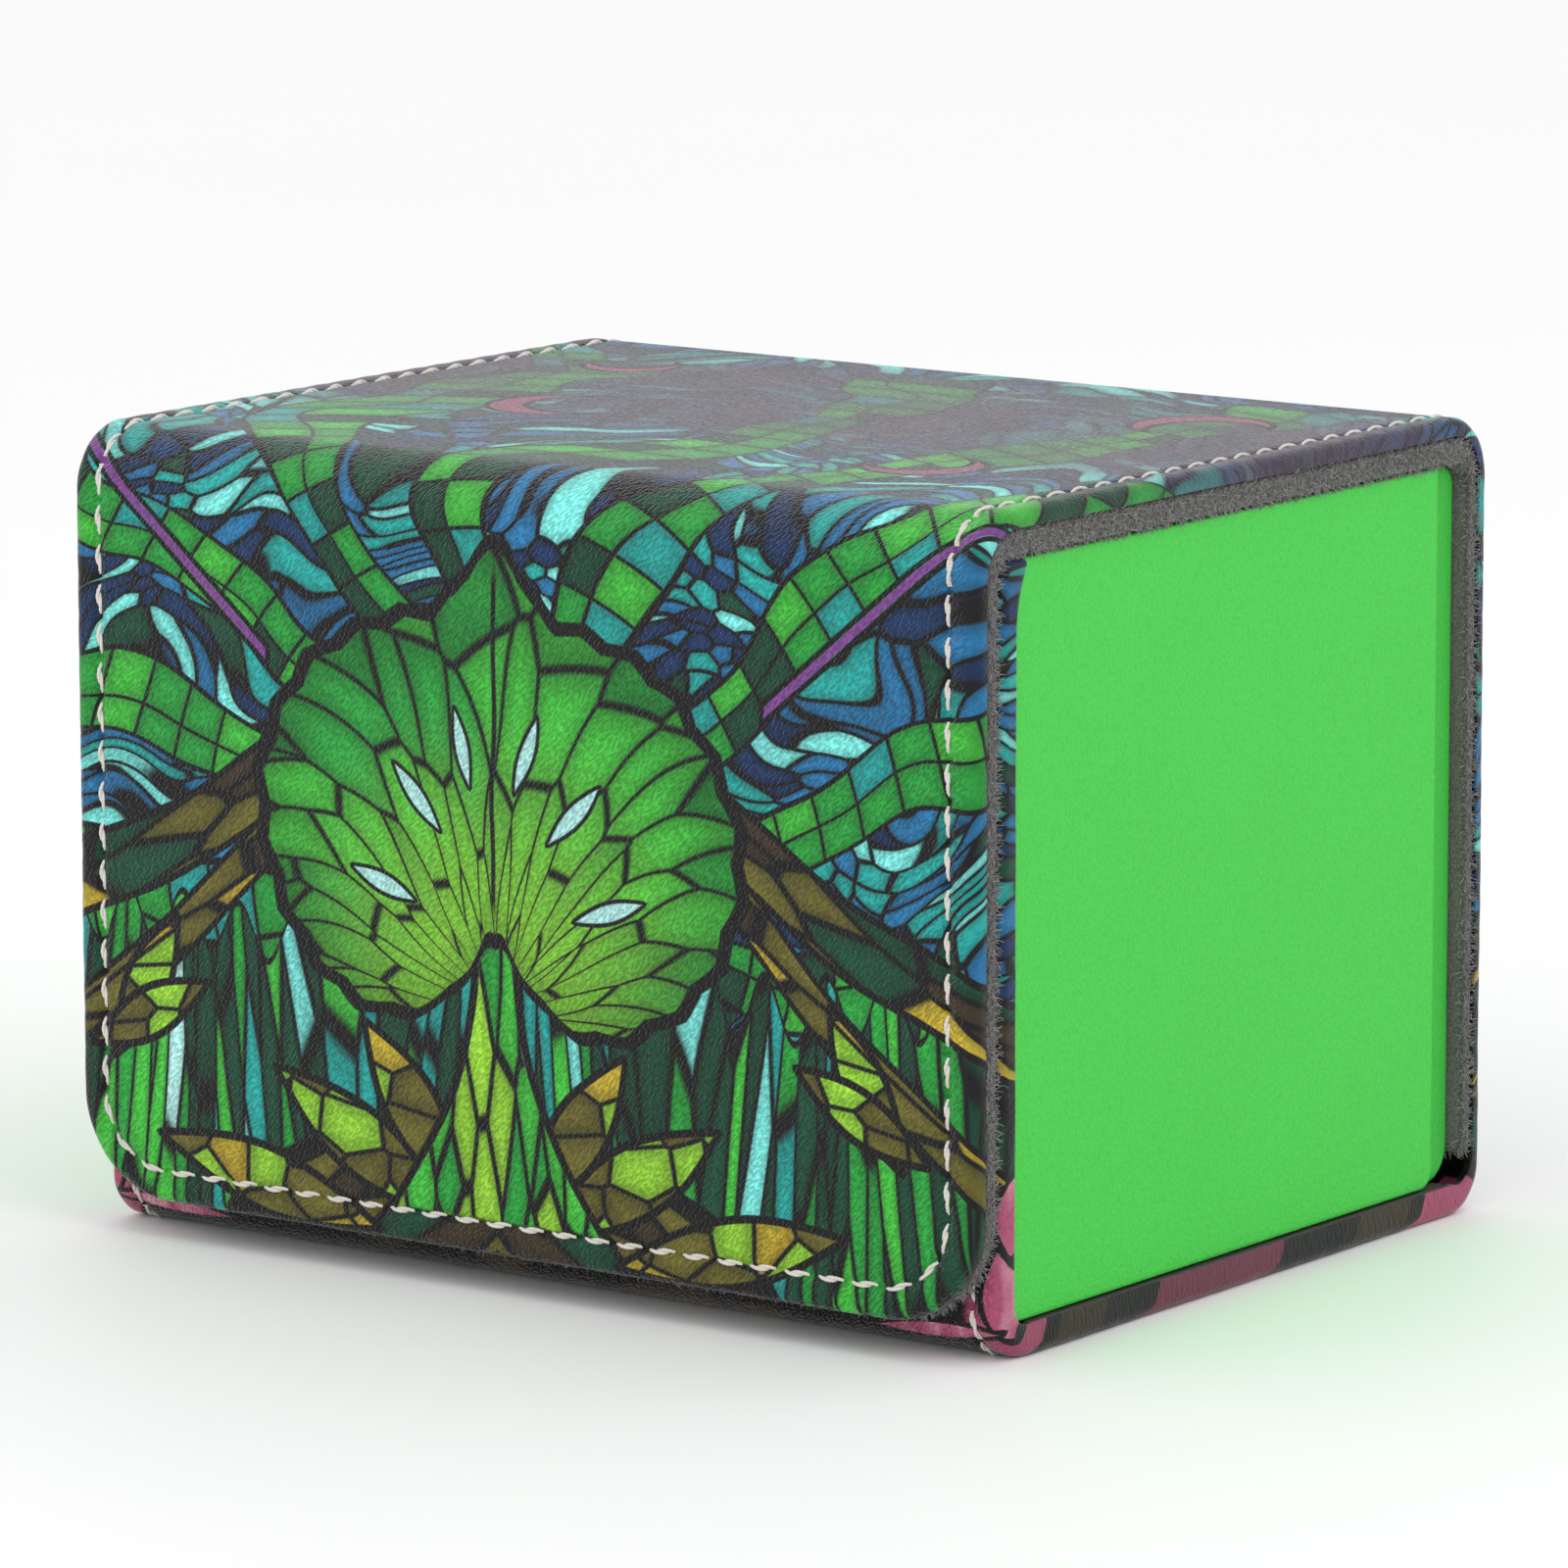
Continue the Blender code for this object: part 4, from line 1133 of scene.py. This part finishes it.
def tray_lining(node, scene):
    """A soft-edged panel in a tray lining's place."""
    tall, rounding, dent, bump_size = 5 * MM, 0.3 * MM, 0.04 * MM, 4.0 * MM
    low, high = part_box(node)
    bm = bmesh.new()
    bmesh.ops.create_cube(bm, size=1.0)
    for vert in bm.verts:
        vert.co = [low[k] if vert.co[k] < 0 else high[k] for k in range(3)]
    fuzz_layer = bm.faces.layers.float.new(FUZZ)
    for face in bm.faces:
        face[fuzz_layer] = 1.0 if face.normal.z > 0.5 and high.z - low.z > tall else 0.0
    bmesh.ops.bevel(bm, geom=bm.edges[:], offset=rounding, segments=3, profile=0.5,
                    affect="EDGES")
    bmesh.ops.subdivide_edges(bm, edges=[e for e in bm.edges if e.calc_length() > tall], cuts=24,
                              use_grid_fill=True)
    for vert in bm.verts:
        vert.co += vert.normal * (dent * (noise.noise(vert.co / bump_size) - 1.0))
    return finish_mesh(node.replace("tray_lining", "suede_tray"), bm,
                       finish_named("microsuede", scene), radians(50.0))


class DECKBOX_OT_linings(bpy.types.Operator):
    """Make the grey linings of the flap, the lid, the back and the tray"""

    bl_idname = "deckbox.linings"
    bl_label = "Suede linings"

    def execute(self, context):
        scene = context.scene
        lining = scene.deck_box_lining
        sizes, strip, line, ((front_low, front_high), (back_low, back_high)) = plan(scene)
        margin = sizes.fold_margin
        cuts = (0.0, front_low - margin, front_high, back_low, back_high + margin,
                strip.runs[2][1] - lining.foot)
        thick = (lining.flap, lining.flap, lining.lid, lining.lid, lining.back, lining.back)
        depth = sizes.lined_edge + lining.glue_gap + lining.lid
        parts = ("flap", "front_fold", "lid", "back_fold", "back")
        spans = dict(zip(parts, zip(cuts, cuts[1:])))
        made = {}
        for (part, (low, high)), ends in zip(spans.items(), zip(thick, thick[1:])):
            made[part] = lining_piece("suede_" + part, scene, strip, line, ends, low, high,
                                      foot=part == "flap", cut_end=part == "back")
            settle(made[part], part, strip, depth)
        for part, under, others in (("flap", "leather_flap", ["front_fold"]),
                                    ("lid", "leather_lid", ["back_fold"]),
                                    ("back", "leather_base", [])):
            low, high = spans[part]
            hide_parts(part + "_lining")
            2 * (sizes.half_width - lining.inset)
            high - low
        for side in ("floor", "front", "back", "left", "right"):
            node = "tray_lining_" + side
            low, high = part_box(node)
            piece = tray_lining(node, scene)
            settle(piece, "tray", strip, depth)
            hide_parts(node)
            tuple(sorted(high - low)[1:])
        return {"FINISHED"}


# ---------------------------------------------------------------- stitches and fibres


def input_socket(tree, name, kind, default):
    socket = tree.interface.new_socket(name, in_out="INPUT", socket_type=kind)
    if default is not None:
        socket.default_value = default
    return socket.identifier


def start_tree(name, inputs):
    """A geometry tree with named inputs; returns it, its builder, its wires and identifiers."""
    tree = bpy.data.node_groups.new(name, "GeometryNodeTree")
    tree.interface.new_socket("Geometry", in_out="OUTPUT", socket_type="NodeSocketGeometry")
    names = {label: input_socket(tree, label, kind, default)
             for label, kind, default in (("Geometry", "NodeSocketGeometry", None), *inputs)}
    build = Build(tree)
    group = build.node("NodeGroupInput")
    wires = {label: Wire(build, group.outputs[label]) for label in names}
    return tree, build, wires, names


def end_tree(build, instances, material):
    """Realizes the instances, gives them their material and ends the tree."""
    real = build.wire("GeometryNodeRealizeInstances", None, {"Geometry": instances})
    real = build.wire("GeometryNodeSetShadeSmooth", None, {"Geometry": real})
    real = build.wire("GeometryNodeSetMaterial", None, {"Geometry": real, "Material": material})
    build.node("NodeGroupOutput", None, {0: real})


def stitch_tree():
    """Twisted two-ply stitches on points that carry a direction along the seam and one outwards."""
    number = "NodeSocketFloat"
    tree, build, given, names = start_tree("deck_box_stitches", (
        ("Length", number, 0.0027), ("Thread", number, 0.00056), ("Rise", number, 0.0002),
        ("Sink", number, 0.0005), ("Twist", number, 7.0), ("Slant", number, 0.1),
        ("Unevenness", number, 0.05), ("Seed", "NodeSocketInt", 7),
        ("Material", "NodeSocketMaterial", None)))
    half = given["Length"] * 0.5
    arc = build.wire("GeometryNodeCurveQuadraticBezier", None, {
        "Resolution": 8,
        "Start": build.combine(half * -1.0, 0.0, given["Sink"] * -1.0),
        "Middle": build.combine(0.0, 0.0, given["Rise"] * 2.0 + given["Sink"]),
        "End": build.combine(half, 0.0, given["Sink"] * -1.0)})
    along = build.wire("GeometryNodeSplineParameter", None, None, "Factor")
    arc = build.wire("GeometryNodeSetCurveTilt", None,
                     {"Curve": arc, "Tilt": along * given["Twist"]})
    ply = build.wire("GeometryNodeCurvePrimitiveCircle", None,
                     {"Resolution": 6, "Radius": given["Thread"] * 0.29})
    plies = build.node("GeometryNodeJoinGeometry")
    for side in (-1.0, 1.0):
        aside = build.combine(given["Thread"] * (0.21 * side), 0.0, 0.0)
        build.feed(plies.inputs[0], build.wire("GeometryNodeTransform", None,
                                               {"Geometry": ply, "Translation": aside}))
    thread = build.wire("GeometryNodeCurveToMesh", None, {
        "Curve": arc, "Profile Curve": Wire(build, plies.outputs[0]), "Fill Caps": True})
    vector = {"data_type": "FLOAT_VECTOR"}
    seam = build.wire("GeometryNodeInputNamedAttribute", vector, {"Name": "along"})
    outward = build.wire("GeometryNodeInputNamedAttribute", vector, {"Name": "outward"})
    turned = build.wire("FunctionNodeAxesToRotation", {"primary_axis": "X", "secondary_axis": "Z"},
                        {"Primary Axis": seam, "Secondary Axis": outward})
    random = build.wire("FunctionNodeRandomValue", {"data_type": "FLOAT"},
                        {2: given["Unevenness"] * -1.0, 3: given["Unevenness"],
                         "Seed": given["Seed"]}, 1)
    slant = build.wire("FunctionNodeEulerToRotation", None,
                       {0: build.combine(0.0, random * 0.6, given["Slant"] + random)})
    turned = build.wire("FunctionNodeRotateRotation", {"rotation_space": "LOCAL"},
                        {0: turned, 1: slant})
    points = build.wire("GeometryNodeMeshToPoints", None, {"Mesh": given["Geometry"]})
    stitches = build.wire("GeometryNodeInstanceOnPoints", None,
                          {"Points": points, "Instance": thread, "Rotation": turned})
    end_tree(build, stitches, given["Material"])
    return tree, names


def fibre_tree():
    """Short fibres that stand out of the faces that carry the fuzz mark."""
    number = "NodeSocketFloat"
    tree, build, given, names = start_tree("deck_box_fibres", (
        ("Length", number, 0.0004), ("Width", number, 0.00005), ("Density", number, 1e6),
        ("Seed", "NodeSocketInt", 3), ("Material", "NodeSocketMaterial", None)))
    marked = build.wire("GeometryNodeInputNamedAttribute", {"data_type": "FLOAT"}, {"Name": FUZZ})
    spread = build.node("GeometryNodeDistributePointsOnFaces", None, {
        "Mesh": given["Geometry"], "Selection": marked.math("GREATER_THAN", 0.5),
        "Density": given["Density"], "Seed": given["Seed"]})
    fibre = build.wire("GeometryNodeMeshCone", {"fill_type": "NGON"}, {
        "Vertices": 3, "Side Segments": 1, "Radius Top": given["Width"] * 0.22,
        "Radius Bottom": given["Width"] * 0.5, "Depth": given["Length"]})
    lean = build.wire("FunctionNodeRandomValue", {"data_type": "FLOAT_VECTOR"},
                      {0: (-0.95, -0.95, 0.0), 1: (0.95, 0.95, 6.28), "Seed": given["Seed"]}, 0)
    lean = build.wire("FunctionNodeEulerToRotation", None, {0: lean})
    turned = build.wire("FunctionNodeRotateRotation", {"rotation_space": "LOCAL"},
                        {0: Wire(build, spread.outputs["Rotation"]), 1: lean})
    scale = build.wire("FunctionNodeRandomValue", {"data_type": "FLOAT"},
                       {2: 0.45, 3: 1.35, "Seed": given["Seed"]}, 1)
    fibres = build.wire("GeometryNodeInstanceOnPoints", None, {
        "Points": Wire(build, spread.outputs["Points"]), "Instance": fibre, "Rotation": turned,
        "Scale": build.combine(1.0, 1.0, scale)})
    end_tree(build, fibres, given["Material"])
    return tree, names


def grown(name, host, tree, names, values, material):
    """The plain mesh piece that a tree makes from a host object's mesh."""
    modifier = host.modifiers.new(tree.name, "NODES")
    modifier.node_group = tree
    for label, value in values.items():
        modifier[names[label]] = value
    modifier[names["Material"]] = material
    host.update_tag()
    bpy.context.view_layer.update()
    evaluated = host.evaluated_get(bpy.context.evaluated_depsgraph_get())
    mesh = bpy.data.meshes.new_from_object(evaluated)
    mesh.name = name
    host.modifiers.remove(modifier)
    return new_piece(name, mesh, material)


def seam_points(strip, line, seam, holds):
    """The middle of each stitch whose s is held, with its directions, on both sides of the box."""
    found = []
    under_low = strip.folds[2][1] - seam.press_reach
    under_high = strip.folds[3][0] + seam.press_reach
    for index in range(line.count):
        x, s, dx, ds = line.point((index + 0.5) * line.pitch)
        if not holds(s):
            continue
        _, forward, inward = strip.frame_at(s)
        depth = seam.press if under_low < s < under_high else 0.0
        for side in (-1.0, 1.0):
            along = Vector((side * dx, forward.x * ds, forward.y * ds)) * side
            found.append((strip.place(side * x, s, depth), along, Vector((0.0, *(-inward)))))
    return found


def point_cloud(name, found):
    """A mesh of loose points that carry the seam's directions."""
    mesh = bpy.data.meshes.new(name)
    mesh.from_pydata([place for place, _, _ in found], [], [])
    for label, column in (("along", 1), ("outward", 2)):
        layer = mesh.attributes.new(label, "FLOAT_VECTOR", "POINT")
        layer.data.foreach_set("vector", [part for row in found for part in row[column]])
    points = bpy.data.objects.new(name, mesh)
    bpy.context.scene.collection.objects.link(points)
    return points


class DECKBOX_OT_stitches(bpy.types.Operator):
    """Sew the seam round the strip, one length of it for each moving part"""

    bl_idname = "deckbox.stitches"
    bl_label = "Stitches"

    def execute(self, context):
        scene = context.scene
        seam = scene.deck_box_seam
        sizes, strip, line, ((front_low, front_high), (back_low, back_high)) = plan(scene)
        tree, names = stitch_tree()
        values = {"Length": seam.stitch, "Thread": seam.thread, "Rise": seam.rise,
                  "Sink": seam.sink, "Twist": seam.twist, "Slant": seam.slant,
                  "Unevenness": seam.jitter, "Seed": seam.seed}
        thread = finish_named("sewing_thread", scene)
        made = {}
        for name, low, high in (("flap", -1.0, front_low), ("front_fold", front_low, front_high),
                                ("lid", front_high, back_low), ("back_fold", back_low, back_high),
                                ("base", back_high, 1.0)):
            found = seam_points(strip, line, seam, lambda s: low <= s < high)
            host = point_cloud("seam_" + name, found)
            made[name] = grown("stitches_" + name, host, tree, names, values, thread)
            bpy.data.objects.remove(host)
            settle(made[name], name, strip, sizes.lined_edge)
        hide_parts("flap_thread")
        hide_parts("lid_thread_left", "lid_thread_right")
        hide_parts("base_thread")
        return {"FINISHED"}


class DECKBOX_OT_fibres(bpy.types.Operator):
    """Grow the loose fibres on the linings' cut edges"""

    bl_idname = "deckbox.fibres"
    bl_label = "Edge fibres"

    def execute(self, context):
        scene = context.scene
        sizes, lining = scene.deck_box_strip, scene.deck_box_lining
        strip = FoldedStrip(sizes)
        depth = sizes.lined_edge + lining.glue_gap + lining.lid
        tree, names = fibre_tree()
        values = {"Length": lining.fibre, "Width": lining.fibre_width, "Density": lining.density,
                  "Seed": lining.seed}
        nap = finish_named("suede_nap", scene)
        for name in ("flap", "front_fold", "lid", "back_fold", "back", "tray_front", "tray_back",
                     "tray_left", "tray_right"):
            host = bpy.data.objects["suede_" + name]
            piece = grown("fibres_" + name, host, tree, names, values, nap)
            settle(piece, name, strip, depth)
        return {"FINISHED"}


# ---------------------------------------------------------------- tray, boards and magnets


def covered_panel(node, scene):
    """A side panel with the soft edges of a board wrapped in thin covering."""
    wrap_radius, rim_width, wide_area = 0.34 * MM, 0.25 * MM, 1e-3
    bm = bmesh.new()
    bm.from_mesh(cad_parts[node].data)
    bmesh.ops.remove_doubles(bm, verts=bm.verts, dist=1e-6)
    bmesh.ops.dissolve_limit(bm, angle_limit=radians(1.0), verts=bm.verts, edges=bm.edges)
    rim = [edge for edge in bm.edges if edge.calc_face_angle() > radians(80.0)]
    bmesh.ops.bevel(bm, geom=rim, offset=wrap_radius, segments=5, profile=0.5, affect="EDGES")
    wide = [face for face in bm.faces if face.calc_area() > wide_area]
    bmesh.ops.inset_individual(bm, faces=wide, thickness=rim_width)
    return finish_mesh(node.replace("side_panel", "covered_panel"), bm,
                       finish_named("green_cover", scene))


class DECKBOX_OT_panels(bpy.types.Operator):
    """Make the covered side panels with their soft wrapped edges"""

    bl_idname = "deckbox.panels"
    bl_label = "Side panels"

    def execute(self, context):
        for side in ("left", "right"):
            piece = covered_panel("side_panel_" + side, context.scene)
            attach(piece, "base")
            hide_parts("side_panel_" + side)
        return {"FINISHED"}


class DECKBOX_OT_finishes(bpy.types.Operator):
    """Finish the green tray, the paperboard stiffeners and the magnets"""

    bl_idname = "deckbox.finishes"
    bl_label = "Tray, boards and magnets"

    def execute(self, context):
        scene = context.scene
        kinds = (("tray_lining", None), ("tray_", "green_cover"), ("_board", "paperboard"),
                 ("_magnet_", "magnet_plating"))
        for name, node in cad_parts.items():
            slot = next((slot for word, slot in kinds if word in name), None)
            if slot is None:
                continue
            node.data.materials.clear()
            # The tray takes the darker copy of the green cover: painted shade behind the side
            # panels.
            finish = "tray_cover_painted_shade" if slot == "green_cover" else slot
            node.data.materials.append(finish_named(finish, scene))
        return {"FINISHED"}


# ---------------------------------------------------------------- stage


def area_light(name, place, aim, size, power):
    """A soft square light that looks at a point."""
    lamp = bpy.data.lights.new(name, "AREA")
    lamp.shape = "SQUARE"
    lamp.size = size
    lamp.energy = power
    light = bpy.data.objects.new(name, lamp)
    light.location = place
    light.rotation_euler = (Vector(aim) - Vector(place)).to_track_quat("-Z", "Y").to_euler()
    bpy.context.scene.collection.objects.link(light)


class DECKBOX_OT_stage(bpy.types.Operator):
    """Set up the floor, the soft studio light and the camera"""

    bl_idname = "deckbox.stage"
    bl_label = "Stage"

    def execute(self, context):
        scene = context.scene
        stage, sizes = scene.deck_box_stage, scene.deck_box_strip
        bm = bmesh.new()
        bmesh.ops.create_grid(bm, x_segments=1, y_segments=1, size=stage.floor_size / 2)
        mesh = bpy.data.meshes.new("studio_floor")
        bm.to_mesh(mesh)
        bm.free()
        floor = new_piece("studio_floor", mesh, floor_material(scene.deck_box_colours))

        world = bpy.data.worlds.new("pale_surround")
        world.use_nodes = True
        background = world.node_tree.nodes["Background"]
        background.inputs["Color"].default_value = (1.0, 1.0, 1.0, 1.0)
        background.inputs["Strength"].default_value = stage.world
        scene.world = world

        middle = Vector((0.0, 0.0, sizes.height / 2))
        area_light("key", (0.55, -0.15, 0.75), middle, 0.5, stage.key)
        area_light("fill", (-0.35, -0.8, 0.5), middle, 0.7, stage.fill)

        back = Vector((sin(stage.yaw) * cos(stage.pitch), -cos(stage.yaw) * cos(stage.pitch),
                       sin(stage.pitch)))
        right = Vector((cos(stage.yaw), sin(stage.yaw), 0.0))
        up = back.cross(right)
        turned = (right * cos(stage.roll) + up * sin(stage.roll),
                  up * cos(stage.roll) - right * sin(stage.roll))
        lens = bpy.data.cameras.new("camera")
        lens.lens = stage.lens
        lens.clip_start, lens.clip_end = 0.01, 20.0
        camera = bpy.data.objects.new("camera", lens)
        scene.collection.objects.link(camera)
        camera.rotation_mode = "QUATERNION"
        columns = [turned[0], turned[1], back]
        camera.rotation_quaternion = Matrix(columns).transposed().to_quaternion()
        camera.location = middle + back * stage.distance + turned[1] * stage.shift_up
        scene.camera = camera
        scene.view_settings.view_transform = "Standard"
        return {"FINISHED"}


# ---------------------------------------------------------------- panel and registration


OPERATORS = (DECKBOX_OT_leather, DECKBOX_OT_linings, DECKBOX_OT_stitches, DECKBOX_OT_fibres,
             DECKBOX_OT_panels, DECKBOX_OT_finishes, DECKBOX_OT_stage)
GROUPS = {"deck_box_strip": DeckBoxStrip, "deck_box_seam": DeckBoxSeam,
          "deck_box_lining": DeckBoxLining, "deck_box_colours": DeckBoxColours,
          "deck_box_stage": DeckBoxStage}


class DECKBOX_PT_sidebar(bpy.types.Panel):
    """Lists the steps that make the deck box"""

    bl_idname = "DECKBOX_PT_sidebar"
    bl_label = "Card Deck Box"
    bl_space_type = "VIEW_3D"
    bl_region_type = "UI"
    bl_category = "Deck Box"

    def draw(self, context):
        for operator in OPERATORS:
            self.layout.operator(operator.bl_idname)


def register():
    for cls in (*GROUPS.values(), *OPERATORS, DECKBOX_PT_sidebar):
        bpy.utils.register_class(cls)
    for name, group in GROUPS.items():
        setattr(bpy.types.Scene, name, PointerProperty(type=group))


def unregister():
    for name in GROUPS:
        delattr(bpy.types.Scene, name)
    for cls in (DECKBOX_PT_sidebar, *reversed(OPERATORS), *reversed(GROUPS.values())):
        bpy.utils.unregister_class(cls)


def main():
    register()
    for step in ("leather", "linings", "stitches", "fibres", "panels", "finishes", "stage"):
        getattr(bpy.ops.deckbox, step)()


if __name__ == "__main__":
    main()
